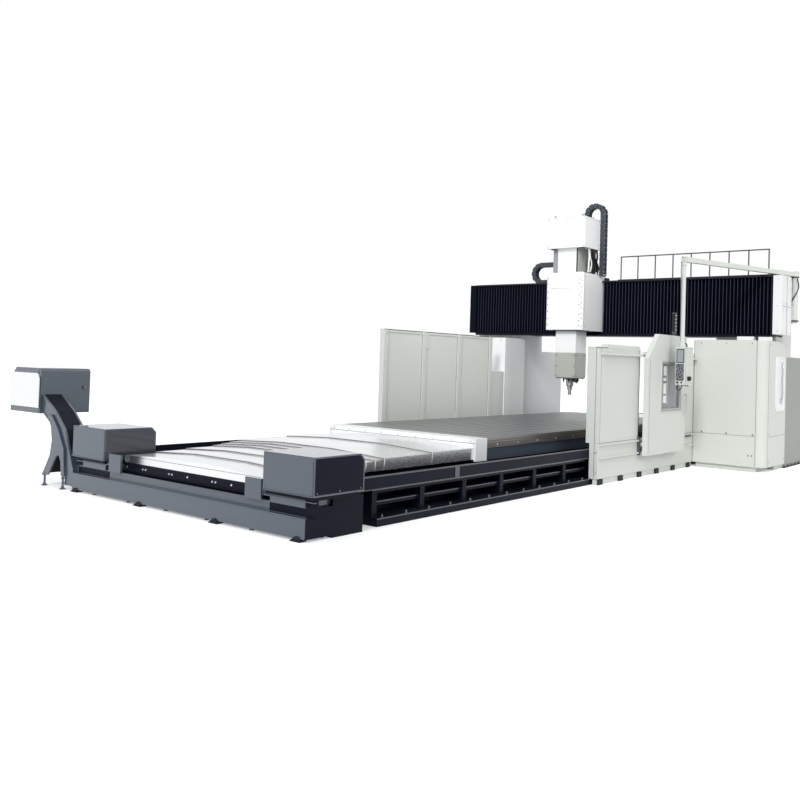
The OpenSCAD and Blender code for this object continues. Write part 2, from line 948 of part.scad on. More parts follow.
// The counterbalance cylinders in the saddle
module counterbalance() {
  color("#8d9296")
    for (s = [-1, 1])
      translate([rod_x, saddle_y + s * rod_y, saddle_z0 + 300])
        difference() {
          cylinder(r = cyl_r, h = saddle_z1 - saddle_z0 - 300 + 70);
          translate([0, 0, 60]) cylinder(r = rod_r + run_gap, h = 2000);
        }
}

// The square ram, with the ledge that its spindle cartridge fills
module ram() {
  color(white)
    difference() {
      block([-ram_w / 2, saddle_y - ram_w / 2, ram_z], [ram_w / 2, saddle_y + ram_w / 2, cap_z]);
      translate([0, saddle_y, ram_z - 1]) cylinder(r = spindle_r + 60 + run_gap, h = 301);
    }
}

// The counterbalance rods, which hang from the head cover's plate
module balance_rods() {
  color(steel)
    for (s = [-1, 1])
      translate([rod_x, saddle_y + s * rod_y, saddle_z0 + 300 + 560])
        cylinder(r = rod_r, h = cap_z - saddle_z0 - 860);
}

// The cover over the ram's drives
module head_cover() {
  r = 30;
  color(white)
    translate([0, 0, cap_z])
      linear_extrude(cap_h)
        hull()
          for (x = [cap_x + r, cap_x + cap_d - r], s = [-1, 1])
            translate([x, saddle_y + s * (cap_w / 2 - r)]) circle(r = r, $fn = 32);
}

// A drag chain's side view: legs of length a and b below a half circle of radius r, link by link
module chain_profile(r, t, a, b) {
  link = 110;
  gap = 10;
  notch = t / 4;
  difference() {
    union() {
      intersection() {
        difference() {
          circle(r = r + t / 2);
          circle(r = r - t / 2);
        }
        translate([-2 * r, -1]) square([4 * r, 2 * r]);
      }
      translate([-r - t / 2, -a]) square([t, a]);
      translate([r - t / 2, -b]) square([t, b]);
    }
    for (i = [0 : floor(a / link) - 1], s = [-1, 1])
      translate([-r + s * t / 2 - notch / 2, -20 - i * link]) square([notch, gap]);
    for (i = [0 : floor(b / link) - 1], s = [-1, 1])
      translate([r + s * t / 2 - notch / 2, -20 - i * link]) square([notch, gap]);
    for (i = [1 : 8])
      rotate(i * 20) translate([r + t / 2 - notch / 2, -gap / 2]) square([notch, gap]);
  }
}

// The ram's drag chain, from the head cover's top over and down to the saddle
module ram_chain() {
  r = 200;
  t = 110;
  w = 180;
  x = cap_x + cap_d + run_gap;
  y0 = saddle_y - 110;
  zc = 5440;
  color(navy) {
    translate([0, y0 - r, zc])
      along_x(x, x + w) chain_profile(r, t, zc - saddle_z1 - 20, 760);
    block([x, y0 - 2 * r - t / 2, saddle_z1], [x + w, saddle_y0 + 120, saddle_z1 + 20]);
  }
}

// The saddle's drag chain: along the beam, round and back to the saddle
module saddle_chain() {
  r = 210;
  t = 90;
  w = 180;
  x = beam_x + 20;
  z0 = beam_z1 + t / 2 + run_gap;
  color(navy) {
    translate([0, 1870, z0 + r])
      along_x(x, x + w) rotate(-90) chain_profile(r, t, 560, 1700);
    block([saddle_rear - 60, saddle_y1 - 200, saddle_z1], [x + w, saddle_y1 - 80, saddle_z1 + 30]);
    block([x + 20, saddle_y1 - 200, saddle_z1 + 30], [x + w - 20, saddle_y1 + 340, z0 + 2 * r - t / 2]);
  }
}

// The spindle: cartridge, flange, nose, tool holder and cutter
module spindle() {
  color(steel)
    translate([0, saddle_y, ram_z])
      rotate_extrude()
        polygon([
          [0, 290], [spindle_r + 60, 290], [spindle_r + 60, -20], [spindle_r + 20, -40],
          [spindle_r, -60], [spindle_r, -spindle_l + 60], [spindle_r - 25, -spindle_l + 40],
          [55, -spindle_l], [cutter_r + 14, -spindle_l - 20], [cutter_r + 14, -spindle_l - 40],
          [cutter_r, -spindle_l - 46], [cutter_r, -spindle_l - cutter_l], [0, -spindle_l - cutter_l]
        ]);
}

// The far guard wall: framed panels between posts
module guard_wall() {
  n = 3;
  bay = (guard_x1 - guard_x0) / n;
  color(cream) {
    for (i = [0 : n])
      block(
        [guard_x0 + i * bay - guard_post / 2, guard_y, 0],
        [guard_x0 + i * bay + guard_post / 2, guard_y + guard_post, guard_h]
      );
    for (i = [0 : n - 1])
      block(
        [guard_x0 + i * bay + guard_post / 2, guard_y + 30, 40],
        [guard_x0 + (i + 1) * bay - guard_post / 2, guard_y + 30 + guard_t, guard_h - 60]
      );
    block([guard_x0, guard_y + 20, guard_h - 60], [guard_x1, guard_y + guard_post - 20, guard_h]);
    block([guard_x0, guard_y + 10, 40], [guard_x1, guard_y + guard_post, 130]);
    block([guard_x1, guard_y + 30, 0], [wall_x1, guard_y + 30 + guard_t, guard_h - 800]);
  }
}

// The lower operator panel on its dark plinth
module panel_lower() {
  color(cream) {
    block([wall_x0, wall_y, plinth_h], [wall_x1, wall_y + wall_t, seam_z]);
    block(
      [wall_x0, wall_y + wall_t, plinth_h],
      [wall_x0 + 40, -gutter_y1 - return_gap, seam_z]
    );
  }
  color(navy)
    block([wall_x0 + 20, wall_y + 20, 0], [wall_x1, wall_y + 90, plinth_h]);
}

// The upper operator panels beside the doorway
module panel_upper() {
  color(cream) {
    block([wall_x0, wall_y, seam_z], [way_x0, wall_y + wall_t, wall_z]);
    block([wall_x0, wall_y + wall_t, seam_z], [wall_x0 + 40, wall_y + post_t, wall_z]);
    block([way_x1, wall_y, seam_z], [wall_x1, wall_y + wall_t, wall_z]);
  }
  color(navy) {
    block([wall_x0 + 300, wall_y + wall_t, wall_z - 120], [way_x0, wall_y + wall_t + 60, wall_z + 60]);
    block([wall_x0 + 300, wall_y + 5, wall_z], [way_x0, wall_y + wall_t, wall_z + 60]);
  }
}

// The rails that the door runs on, below and above
module door_rails() {
  x0 = wall_x0 + 40;
  color("#8d9296") {
    block([x0, wall_y - 40, 430], [wall_x1 - 40, wall_y, 460]);
    block([x0, wall_y - 40, seam_z - 40], [wall_x1 - 40, wall_y, seam_z - 10]);
    block([x0, wall_y - 70, hang_z - 40], [way_x0, wall_y, hang_z]);
    block([way_x1, wall_y - 70, hang_z - 40], [wall_x1 - 40, wall_y, hang_z]);
    block([way_x0, wall_y - 70, hang_z - 40], [way_x1, wall_y - 30, hang_z]);
  }
}

// The sliding door with its chamfered top corner and its window opening
module sliding_door() {
  c = 450;
  color(cream) {
    difference() {
      along_y(door_y - door_t, door_y)
        polygon([
          [door_x0, door_z0], [door_x0, door_z1 - c], [door_x0 + c, door_z1],
          [door_x1, door_z1], [door_x1, door_z0]
        ]);
      block([pane_x, door_y - door_t - 1, pane_z], [pane_x + pane_w, door_y + 1, pane_z + pane_h]);
    }
    for (x = [door_x0 + 60, door_x1 - 260])
      block([x, door_y, hang_z + run_gap], [x + 200, wall_y - 35, hang_z + 40]);
    for (x = [door_x0 + 60, door_x1 - 260])
      block([x, door_y, seam_z - 120], [x + 200, wall_y - 40 - run_gap, seam_z - 60]);
    difference() {
      block(
        [pane_x - 40, door_y - door_t - 10, pane_z - 40],
        [pane_x + pane_w + 40, door_y - door_t, pane_z + pane_h + 40]
      );
      block(
        [pane_x, door_y - door_t - 11, pane_z],
        [pane_x + pane_w, door_y - door_t + 1, pane_z + pane_h]
      );
    }
    for (z = [handle_z, handle_z + handle_l])
      translate([door_x1 - 90, door_y - door_t + 1, z]) rotate([90, 0, 0])
        cylinder(r = handle_r, h = 61);
    translate([door_x1 - 90, door_y - door_t - 60, handle_z - handle_r])
      cylinder(r = handle_r, h = handle_l + 2 * handle_r);
  }
}

// The pane in the door
module door_pane() {
  color("#9fb0b8", 0.5)
    block(
      [pane_x, door_y - door_t + 30, pane_z],
      [pane_x + pane_w, door_y - door_t + 42, pane_z + pane_h]
    );
}

// Points on a quarter circle round a corner's centre
function quarter(c, r, a0) = [for (i = [0 : 6]) c + r * [cos(a0 - i * 15), sin(a0 - i * 15)]];

// The cover in front of a column, with its rounded outer corner
module cabinet(s) {
  back = beam_x - run_gap;
  color(cream)
    mirror([0, s < 0 ? 1 : 0, 0])
      translate([0, 0, plinth_h])
        linear_extrude(cabinet_h - plinth_h)
          polygon(concat(
            [[back, -wall_y], [wall_x1, -wall_y]],
            quarter([wall_x1 + cabinet_r, cabinet_y - cabinet_r], cabinet_r, 180),
            [[cabinet_x1, cabinet_y], [cabinet_x1, cabinet_y - cabinet_t],
             [back, cabinet_y - cabinet_t]]
          ));
  color(navy)
    mirror([0, s < 0 ? 1 : 0, 0])
      block([wall_x1 + 60, -wall_y + 60, 0], [back - 50, cabinet_y - cabinet_r, plinth_h]);
}

module cabinet_near() {
  cabinet(-1);
}

module cabinet_far() {
  cabinet(1);
}

// The signal lamp on its stem
module stack_lamp() {
  color(navy)
    translate([-1140, wall_y + 30, wall_z]) {
      cylinder(r = 12, h = stem_h);
      translate([0, 0, stem_h]) cylinder(r = lamp_r, h = lamp_h);
    }
}

// The post on the near column that carries the pendant arm
module arm_post() {
  color(cream) {
    translate([arm_x, arm_y, 3000]) cylinder(r = 60, h = arm_z - arm_s / 2 - 3000 - run_gap);
    translate([arm_x, arm_y, 3000]) cylinder(r = pin_r, h = arm_z + arm_s / 2 + 20 - 3000);
    block([arm_x - 80, arm_y + 20, 3050], [arm_x + 80, -column_y1, 3350]);
  }
}

// The swinging arm with its drop tube
module pendant_arm() {
  turn = atan2(arm_dy, arm_dx);
  reach = norm([arm_dx, arm_dy]);
  color(cream)
    translate([arm_x, arm_y, 0])
      rotate(turn)
        difference() {
          union() {
            block([0, -arm_s / 2, arm_z - arm_s / 2], [reach + 35, arm_s / 2, arm_z + arm_s / 2]);
            translate([0, 0, arm_z - arm_s / 2]) cylinder(r = 75, h = arm_s);
            translate([reach, 0, pendant_z1 + 60]) cylinder(r = 35, h = arm_z - pendant_z1 - 60);
          }
          translate([0, 0, arm_z - arm_s]) cylinder(r = pin_r + run_gap, h = 2 * arm_s);
        }
}

// The operator's pendant box
module pendant_box() {
  x = arm_x + arm_dx;
  y = arm_y + arm_dy;
  color(cream) {
    block(
      [x - pendant_w / 4, y - pendant_d / 2, pendant_z1 - pendant_h],
      [x + pendant_w * 3 / 4, y + pendant_d / 2, pendant_z1]
    );
    translate([x, y, pendant_z1]) cylinder(r = 50, h = 60 - run_gap);
  }
}

bed_casting();
bed_side_near();
bed_side_far();
guide_rails();
chip_gutters();
chip_trough();
drive_box_near();
drive_box_far();
conveyor_incline();
conveyor_head();
conveyor_panel();
conveyor_leg();
cover_front_1();
cover_front_2();
cover_front_3();
cover_front_4();
cover_front_5();
cover_front_6();
cover_front_7();
cover_front_8();
cover_rear_1();
cover_rear_2();
cover_rear_3();
cover_rear_4();
cover_rear_5();
cover_rear_6();
table_plate();
table_base();
table_aprons();
column_near();
column_far();
crossbeam();
beam_ways();
beam_caps();
bellows_near();
bellows_far();
walkway();
guard_rail();
saddle_housing();
counterbalance();
ram();
balance_rods();
head_cover();
ram_chain();
saddle_chain();
spindle();
guard_wall();
panel_lower();
panel_upper();
door_rails();
sliding_door();
door_pane();
cabinet_near();
cabinet_far();
stack_lamp();
arm_post();
pendant_arm();
pendant_box();
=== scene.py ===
"""The looks of a gantry machining center with a travelling table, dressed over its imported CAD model."""
import math
import random

import bmesh
import bpy
from mathutils import Matrix, Vector


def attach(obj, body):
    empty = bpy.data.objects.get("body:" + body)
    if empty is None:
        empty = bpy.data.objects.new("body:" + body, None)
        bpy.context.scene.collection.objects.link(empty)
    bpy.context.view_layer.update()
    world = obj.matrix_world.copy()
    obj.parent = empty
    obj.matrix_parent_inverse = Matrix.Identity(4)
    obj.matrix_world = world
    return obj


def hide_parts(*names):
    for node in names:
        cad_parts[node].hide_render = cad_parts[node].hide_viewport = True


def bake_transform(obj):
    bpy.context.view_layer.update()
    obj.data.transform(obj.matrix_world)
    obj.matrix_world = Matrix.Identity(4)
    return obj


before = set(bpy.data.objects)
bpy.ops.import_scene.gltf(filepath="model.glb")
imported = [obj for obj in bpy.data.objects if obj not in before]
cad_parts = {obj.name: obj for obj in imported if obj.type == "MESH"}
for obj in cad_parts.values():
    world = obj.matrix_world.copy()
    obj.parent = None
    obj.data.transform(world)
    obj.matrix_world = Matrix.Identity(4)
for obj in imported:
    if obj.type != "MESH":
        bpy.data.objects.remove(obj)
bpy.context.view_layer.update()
draw = random.Random(7)

# Finishes, as linear colours
NAVY = (0.004, 0.005, 0.013)
SLATE = (0.046, 0.064, 0.092)
SLATE_DARK = (0.03, 0.034, 0.045)
CREAM = (0.62, 0.64, 0.60)
WHITE = (0.80, 0.81, 0.81)
RAIL_GREY = (0.075, 0.08, 0.09)
BLACK = (0.012, 0.012, 0.014)
STEEL = (0.84, 0.85, 0.87)
IRON = (0.27, 0.28, 0.285)


def new_group(name, inputs, outputs):
    """A shader node group with named sockets, and its input and output nodes."""
    tree = bpy.data.node_groups.new(name, "ShaderNodeTree")
    for label, kind, value in inputs:
        socket = tree.interface.new_socket(label, in_out="INPUT", socket_type=kind)
        if value is not None:
            socket.default_value = value
    for label, kind in outputs:
        tree.interface.new_socket(label, in_out="OUTPUT", socket_type=kind)
    return tree, tree.nodes.new("NodeGroupInput"), tree.nodes.new("NodeGroupOutput")


def put(tree, kind, **settings):
    """A node with its plain settings and the values of its sockets."""
    node = tree.nodes.new(kind)
    for key, value in settings.items():
        if isinstance(value, dict):
            for socket, number in value.items():
                node.inputs[socket].default_value = number
        else:
            setattr(node, key, value)
    return node


def math_node(tree, operation, a, b=None, clamp=False):
    node = put(tree, "ShaderNodeMath", operation=operation, use_clamp=clamp)
    for index, value in enumerate((a, b)):
        if value is None:
            continue
        if isinstance(value, (int, float)):
            node.inputs[index].default_value = value
        else:
            tree.links.new(value, node.inputs[index])
    return node.outputs[0]


def ramp(tree, value, low, high):
    """value mapped so that low gives 0 and high gives 1, clamped."""
    node = put(tree, "ShaderNodeMapRange")
    node.inputs["From Min"].default_value = low
    node.inputs["From Max"].default_value = high
    tree.links.new(value, node.inputs["Value"])
    return node.outputs["Result"]


def stretched_noise(tree, scale, stretch, detail=4.0, rough=0.55):
    """Noise over the object's own coordinates, stretched along each axis."""
    place = put(tree, "ShaderNodeTexCoord")
    mapping = put(tree, "ShaderNodeMapping", inputs={"Scale": stretch})
    noise = put(tree, "ShaderNodeTexNoise", inputs={"Scale": scale, "Detail": detail, "Roughness": rough})
    tree.links.new(place.outputs["Object"], mapping.inputs["Vector"])
    tree.links.new(mapping.outputs["Vector"], noise.inputs["Vector"])
    return noise.outputs["Fac"]


def edge_wear_group():
    """Bare edges: a mask where the surface turns sharply, broken up by noise."""
    tree, given, out = new_group(
        "Edge wear",
        [("Width", "NodeSocketFloat", 0.006), ("Amount", "NodeSocketFloat", 0.5)],
        [("Mask", "NodeSocketFloat")],
    )
    bevel = put(tree, "ShaderNodeBevel", samples=4)
    tree.links.new(given.outputs["Width"], bevel.inputs["Radius"])
    flat = put(tree, "ShaderNodeNewGeometry")
    dot = put(tree, "ShaderNodeVectorMath", operation="DOT_PRODUCT")
    tree.links.new(bevel.outputs["Normal"], dot.inputs[0])
    tree.links.new(flat.outputs["Normal"], dot.inputs[1])
    turn = ramp(tree, dot.outputs["Value"], 0.985, 0.8)
    patchy = ramp(tree, stretched_noise(tree, 3.0, (1, 1, 1), 6.0), 0.45, 0.7)
    worn = math_node(tree, "MULTIPLY", turn, patchy)
    mask = math_node(tree, "MULTIPLY", worn, given.outputs["Amount"], clamp=True)
    tree.links.new(mask, out.inputs["Mask"])
    return tree


def dust_group():
    """Dust that settles on upward faces, in soft patches."""
    tree, given, out = new_group(
        "Settled dust", [("Amount", "NodeSocketFloat", 0.3)], [("Mask", "NodeSocketFloat")]
    )
    flat = put(tree, "ShaderNodeNewGeometry")
    parts = put(tree, "ShaderNodeSeparateXYZ")
    tree.links.new(flat.outputs["Normal"], parts.inputs[0])
    up = ramp(tree, parts.outputs["Z"], 0.3, 1.0)
    patchy = ramp(tree, stretched_noise(tree, 1.3, (1, 1, 1), 7.0, 0.65), 0.35, 0.75)
    mask = math_node(tree, "MULTIPLY", math_node(tree, "MULTIPLY", up, patchy), given.outputs["Amount"])
    tree.links.new(mask, out.inputs["Mask"])
    return tree


def tone_group():
    """Slow shifts of tone over large sheets and castings."""
    tree, given, out = new_group(
        "Paint tone",
        [("Colour", "NodeSocketColor", (1, 1, 1, 1)), ("Shift", "NodeSocketFloat", 0.08)],
        [("Colour", "NodeSocketColor"), ("Value", "NodeSocketFloat")],
    )
    cloud = stretched_noise(tree, 0.9, (1, 1, 1.6), 5.0)
    centred = math_node(tree, "SUBTRACT", cloud, 0.5)
    shift = math_node(tree, "MULTIPLY", centred, given.outputs["Shift"])
    factor = math_node(tree, "ADD", shift, 1.0)
    scale = put(tree, "ShaderNodeVectorMath", operation="SCALE")
    tree.links.new(given.outputs["Colour"], scale.inputs[0])
    tree.links.new(factor, scale.inputs["Scale"])
    tree.links.new(scale.outputs["Vector"], out.inputs["Colour"])
    tree.links.new(cloud, out.inputs["Value"])
    return tree


def grain_group():
    """Fine relief: an orange peel on paint, or lines where the stretch is uneven."""
    tree, given, out = new_group(
        "Surface grain",
        [("Scale", "NodeSocketFloat", 90.0), ("Stretch", "NodeSocketVector", (1, 1, 1))],
        [("Height", "NodeSocketFloat")],
    )
    place = put(tree, "ShaderNodeTexCoord")
    product = put(tree, "ShaderNodeVectorMath", operation="MULTIPLY")
    noise = put(tree, "ShaderNodeTexNoise", inputs={"Detail": 3.0, "Roughness": 0.5})
    tree.links.new(place.outputs["Object"], product.inputs[0])
    tree.links.new(given.outputs["Stretch"], product.inputs[1])
    tree.links.new(product.outputs["Vector"], noise.inputs["Vector"])
    tree.links.new(given.outputs["Scale"], noise.inputs["Scale"])
    tree.links.new(noise.outputs["Fac"], out.inputs["Height"])
    return tree


EDGE_WEAR = edge_wear_group()
DUST = dust_group()
TONE = tone_group()
GRAIN = grain_group()


def use(tree, group, **values):
    node = tree.nodes.new("ShaderNodeGroup")
    node.node_tree = group
    for key, value in values.items():
        node.inputs[key].default_value = value
    return node


def mix_colour(tree, factor, a, b):
    """a where factor is 0 and b where it is 1; a and b are sockets or colours."""
    node = put(tree, "ShaderNodeMix", data_type="RGBA")
    tree.links.new(factor, node.inputs["Factor"])
    for socket, value in ((node.inputs[6], a), (node.inputs[7], b)):
        if isinstance(value, tuple):
            socket.default_value = (*value, 1.0)
        else:
            tree.links.new(value, socket)
    return node.outputs[2]


def rounded_relief(tree, shader, height, strength, distance, radius):
    """Softens the piece's edges and lays fine relief over it."""
    bevel = put(tree, "ShaderNodeBevel", samples=4, inputs={"Radius": radius})
    bump = put(tree, "ShaderNodeBump", inputs={"Strength": strength, "Distance": distance})
    tree.links.new(bevel.outputs["Normal"], bump.inputs["Normal"])
    tree.links.new(height, bump.inputs["Height"])
    tree.links.new(bump.outputs["Normal"], shader.inputs["Normal"])


def start_material(name, **values):
    material = bpy.data.materials.new(name)
    material.use_nodes = True
    tree = material.node_tree
    shader = tree.nodes["Principled BSDF"]
    for key, value in values.items():
        shader.inputs[key.replace("_", " ")].default_value = value
    return material, tree, shader


def paint(name, colour, rough=0.42, wear=0.25, dust=0.12, shift=0.1, peel=0.0006, under=(0.3, 0.3, 0.31), coat=0.0,
          gloss=0.4):
    """Sprayed machine paint with an orange peel, dust on top and bare edges."""
    material, tree, shader = start_material(name, Specular_IOR_Level=gloss, Coat_Weight=coat, Coat_Roughness=0.07)
    tone = use(tree, TONE, Colour=(*colour, 1.0), Shift=shift)
    worn = use(tree, EDGE_WEAR, Width=0.008, Amount=wear)
    settled = use(tree, DUST, Amount=dust)
    base = mix_colour(tree, settled.outputs["Mask"], tone.outputs["Colour"], (0.42, 0.41, 0.39))
    base = mix_colour(tree, worn.outputs["Mask"], base, under)
    tree.links.new(base, shader.inputs["Base Color"])
    sheen = math_node(tree, "MULTIPLY", tone.outputs["Value"], 0.16)
    dulled = math_node(tree, "MULTIPLY", settled.outputs["Mask"], 0.4)
    total = math_node(tree, "ADD", math_node(tree, "ADD", sheen, dulled), rough - 0.08, clamp=True)
    tree.links.new(total, shader.inputs["Roughness"])
    grain = use(tree, GRAIN, Scale=140.0)
    rounded_relief(tree, shader, grain.outputs["Height"], 0.35, peel, 0.006)
    return material


def metal(name, colour, rough, stretch, lines=0.0006, dust=0.0, tint=None, edge=0.003):
    """Bare metal with brushed or ground lines."""
    material, tree, shader = start_material(name, Metallic=1.0)
    tone = use(tree, TONE, Colour=(*colour, 1.0), Shift=0.16)
    base = tone.outputs["Colour"]
    if tint is not None:
        stain = ramp(tree, stretched_noise(tree, 2.2, (0.5, 1, 3), 6.0, 0.6), 0.5, 0.8)
        base = mix_colour(tree, stain, base, tint)
    if dust:
        settled = use(tree, DUST, Amount=dust)
        base = mix_colour(tree, settled.outputs["Mask"], base, (0.5, 0.48, 0.45))
    tree.links.new(base, shader.inputs["Base Color"])
    grain = use(tree, GRAIN, Scale=60.0, Stretch=stretch)
    spread = math_node(tree, "MULTIPLY", grain.outputs["Height"], 0.22)
    total = math_node(tree, "ADD", spread, rough - 0.11, clamp=True)
    tree.links.new(total, shader.inputs["Roughness"])
    rounded_relief(tree, shader, grain.outputs["Height"], 0.3, lines, edge)
    return material


def rubber(name, colour, rough=0.6, dust=0.25, gloss=0.3):
    """Moulded rubber or plastic with a fine grain."""
    material, tree, shader = start_material(name, Specular_IOR_Level=gloss)
    tone = use(tree, TONE, Colour=(*colour, 1.0), Shift=0.3)
    settled = use(tree, DUST, Amount=dust)
    base = mix_colour(tree, settled.outputs["Mask"], tone.outputs["Colour"], (0.2, 0.2, 0.2))
    tree.links.new(base, shader.inputs["Base Color"])
    grain = use(tree, GRAIN, Scale=220.0)
    total = math_node(tree, "ADD", math_node(tree, "MULTIPLY", grain.outputs["Height"], 0.2), rough - 0.1)
    tree.links.new(total, shader.inputs["Roughness"])
    rounded_relief(tree, shader, grain.outputs["Height"], 0.4, 0.0006, 0.002)
    return material


def pane_material():
    """Tinted clear plastic in the door."""
    material, tree, shader = start_material(
        "door_pane_clear", Transmission_Weight=0.75, IOR=1.45, Specular_IOR_Level=0.5
    )
    haze = stretched_noise(tree, 4.0, (1, 1, 0.4), 5.0)
    tree.links.new(mix_colour(tree, haze, (0.56, 0.58, 0.6), (0.7, 0.72, 0.73)), shader.inputs["Base Color"])
    total = math_node(tree, "ADD", math_node(tree, "MULTIPLY", haze, 0.2), 0.06)
    tree.links.new(total, shader.inputs["Roughness"])
    return material


MATERIALS = {
    "navy": paint("navy_paint", NAVY, 0.42, wear=0.05, dust=0.02, gloss=0.1),
    "slate": paint("slate_paint", SLATE, 0.42, wear=0.22, dust=0.12, shift=0.16, coat=1.0),
    # dark_slate_paint is slate darkened; on the far drive box's near face it serves as painted shade.
    "slate_dark": paint("dark_slate_paint", SLATE_DARK, 0.4, wear=0.2, dust=0.10, shift=0.2, coat=0.7),
    "cream": paint("cream_paint", CREAM, 0.45, wear=0.06, dust=0.05, shift=0.06, peel=0.0008),
    "white": paint("white_paint", WHITE, 0.38, wear=0.05, dust=0.04, shift=0.05),
    "rail_grey": paint("rail_paint", RAIL_GREY, 0.4, wear=0.4, dust=0.1),
    "cover": metal("cover_sheet", STEEL, 0.28, (0.25, 9.0, 9.0), lines=0.00002, dust=0.03, edge=0.0008),
    "iron": metal("machined_iron", IRON, 0.40, (0.2, 8.0, 1.0), lines=0.0008, tint=(0.30, 0.285, 0.27)),
    "iron_side": metal("cast_side", (0.2, 0.19, 0.185), 0.5, (0.3, 3.0, 3.0), tint=(0.17, 0.12, 0.09)),
    "ground": metal("ground_steel", (0.55, 0.56, 0.58), 0.26, (1.0, 1.0, 8.0), lines=0.0004),
    "bolt": metal("bolt_steel", (0.62, 0.62, 0.63), 0.3, (3.0, 3.0, 3.0)),
    "black": rubber("black_plastic", BLACK, 0.5),
    "bellows": rubber("bellows_cloth", (0.002, 0.003, 0.008), 0.5, dust=0.02, gloss=0.06),
    "ram_grey": paint("ram_grey_paint", (0.40, 0.41, 0.37), 0.36, wear=0.1, dust=0.0, shift=0.1),
    "stone": paint("stone_paint", (0.27, 0.285, 0.25), 0.45, wear=0.05, dust=0.05, shift=0.12),
    "wiper": rubber("wiper_rubber", (0.16, 0.15, 0.15), 0.5),
    # A lighter copy of the bellows cloth: painted highlight for the fold crests.
    "crest_highlight": rubber("bellows_crest_highlight", (0.05, 0.054, 0.09), 0.4, dust=0.05, gloss=0.1),
    "chain": rubber("chain_plastic", (0.05, 0.062, 0.078), 0.42),
    "seam": paint("seam_dark", (0.02, 0.021, 0.024), 0.55, wear=0.0, dust=0.02, gloss=0.15),
    "oiled": metal("oiled_edge", (0.26, 0.17, 0.12), 0.42, (0.3, 4.0, 4.0), tint=(0.16, 0.09, 0.06)),
    "dark_bolt": metal("blackened_bolt", (0.16, 0.16, 0.17), 0.38, (3.0, 3.0, 3.0)),
    "screen": paint("display_grey", (0.30, 0.34, 0.36), 0.2, wear=0.0, dust=0.0),
    "grey_plastic": rubber("grey_plastic", (0.3, 0.32, 0.34), 0.5),
    "pane": pane_material(),
}

NODE_FINISH = {
    "navy": "bed_casting bed_side_near bed_side_far crossbeam chip_gutters",
    "slate": "chip_trough drive_box_near drive_box_far conveyor_incline conveyor_head"
             " conveyor_leg",
    "rail_grey": "walkway guard_rail stack_lamp",
    "ground": "guide_rails beam_ways spindle balance_rods counterbalance",
    "iron": "table_plate",
    "iron_side": "table_base",
    # cabinet_far and column_far take the white paint rather than the near side's cream: painted light, brightening them
    # where they stand in shade.
    "white": "table_aprons conveyor_panel beam_caps saddle_housing ram head_cover cabinet_far"
             " column_far",
    "cream": "column_near guard_wall panel_lower panel_upper sliding_door cabinet_near"
             " door_rails arm_post pendant_arm pendant_box",
    "black": "ram_chain saddle_chain",
    "bellows": "bellows_near bellows_far",
    "pane": "door_pane",
}


def finish_nodes():
    finish = {node: key for key, names in NODE_FINISH.items() for node in names.split()}
    for name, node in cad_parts.items():
        material = MATERIALS[finish.get(name, "cover")]
        node.data.materials.clear()
        node.data.materials.append(material)


def block(low, high):
    """A block from one corner to the other."""
    corners = [(x, y, z) for x in (low[0], high[0]) for y in (low[1], high[1]) for z in (low[2], high[2])]
    return corners, [(0, 1, 3, 2), (4, 6, 7, 5), (0, 4, 5, 1), (2, 3, 7, 6), (0, 2, 6, 4), (1, 5, 7, 3)]


def on_axis(axis, u, v, w):
    """The point with w along the axis and u, v on the other two, in order."""
    return {"x": (w, u, v), "y": (u, w, v), "z": (u, v, w)}[axis]


def prism(outline, axis, low, high):
    """A flat outline run along an axis."""
    n = len(outline)
    corners = [on_axis(axis, u, v, w) for w in (low, high) for u, v in outline]
    sides = [(i, (i + 1) % n, n + (i + 1) % n, n + i) for i in range(n)]
    return corners, [tuple(reversed(range(n))), tuple(range(n, 2 * n)), *sides]


def rod(start, end, radius, sides=12, end_radius=None):
    """A round bar, or a cone, between two points."""
    start, end = Vector(start), Vector(end)
    along = (end - start).normalized()
    across = along.orthogonal().normalized()
    other = along.cross(across)
    rings = []
    for centre, r in ((start, radius), (end, radius if end_radius is None else end_radius)):
        for i in range(sides):
            turn = 2 * math.pi * i / sides
            rings.append(tuple(centre + r * (math.cos(turn) * across + math.sin(turn) * other)))
    faces = [(i, (i + 1) % sides, sides + (i + 1) % sides, sides + i) for i in range(sides)]
    return rings, [tuple(reversed(range(sides))), tuple(range(sides, 2 * sides)), *faces]


def hose(points, radius, sides=10, steps=8):
    """A round hose through the points, rounded between them."""
    points = [Vector(p) for p in points]
    path = []
    for i in range(len(points) - 1):
        before, after = points[max(i - 1, 0)], points[min(i + 2, len(points) - 1)]
        for j in range(steps):
            t = j / steps
            path.append(0.5 * (
                2 * points[i] + (points[i + 1] - before) * t
                + (2 * before - 5 * points[i] + 4 * points[i + 1] - after) * t * t
                + (3 * points[i] - before - 3 * points[i + 1] + after) * t * t * t
            ))
    path.append(points[-1])
    side = (path[1] - path[0]).orthogonal().normalized()
    corners, faces = [], []
    for i, place in enumerate(path):
        along = (path[min(i + 1, len(path) - 1)] - path[max(i - 1, 0)]).normalized()
        side = (side - along * side.dot(along)).normalized()
        other = along.cross(side)
        for j in range(sides):
            turn = 2 * math.pi * j / sides
            corners.append(tuple(place + radius * (math.cos(turn) * side + math.sin(turn) * other)))
        if i:
            a, b = (i - 1) * sides, i * sides
            faces += [(a + j, a + (j + 1) % sides, b + (j + 1) % sides, b + j) for j in range(sides)]
    last = len(corners) - sides
    return corners, [tuple(reversed(range(sides))), tuple(range(last, last + sides)), *faces]


def bolt(place, way, radius=0.012, height=0.008, sides=6):
    """A bolt head on its washer, standing out along way."""
    place, way = Vector(place), Vector(way)
    washer = rod(place, place + way * height * 0.25, radius * 1.5, 14)
    return [washer, rod(place + way * height * 0.25, place + way * height, radius, sides)]


def bolts(places, way, radius=0.012, height=0.008):
    return [shape for place in places for shape in bolt(place, way, radius, height)]


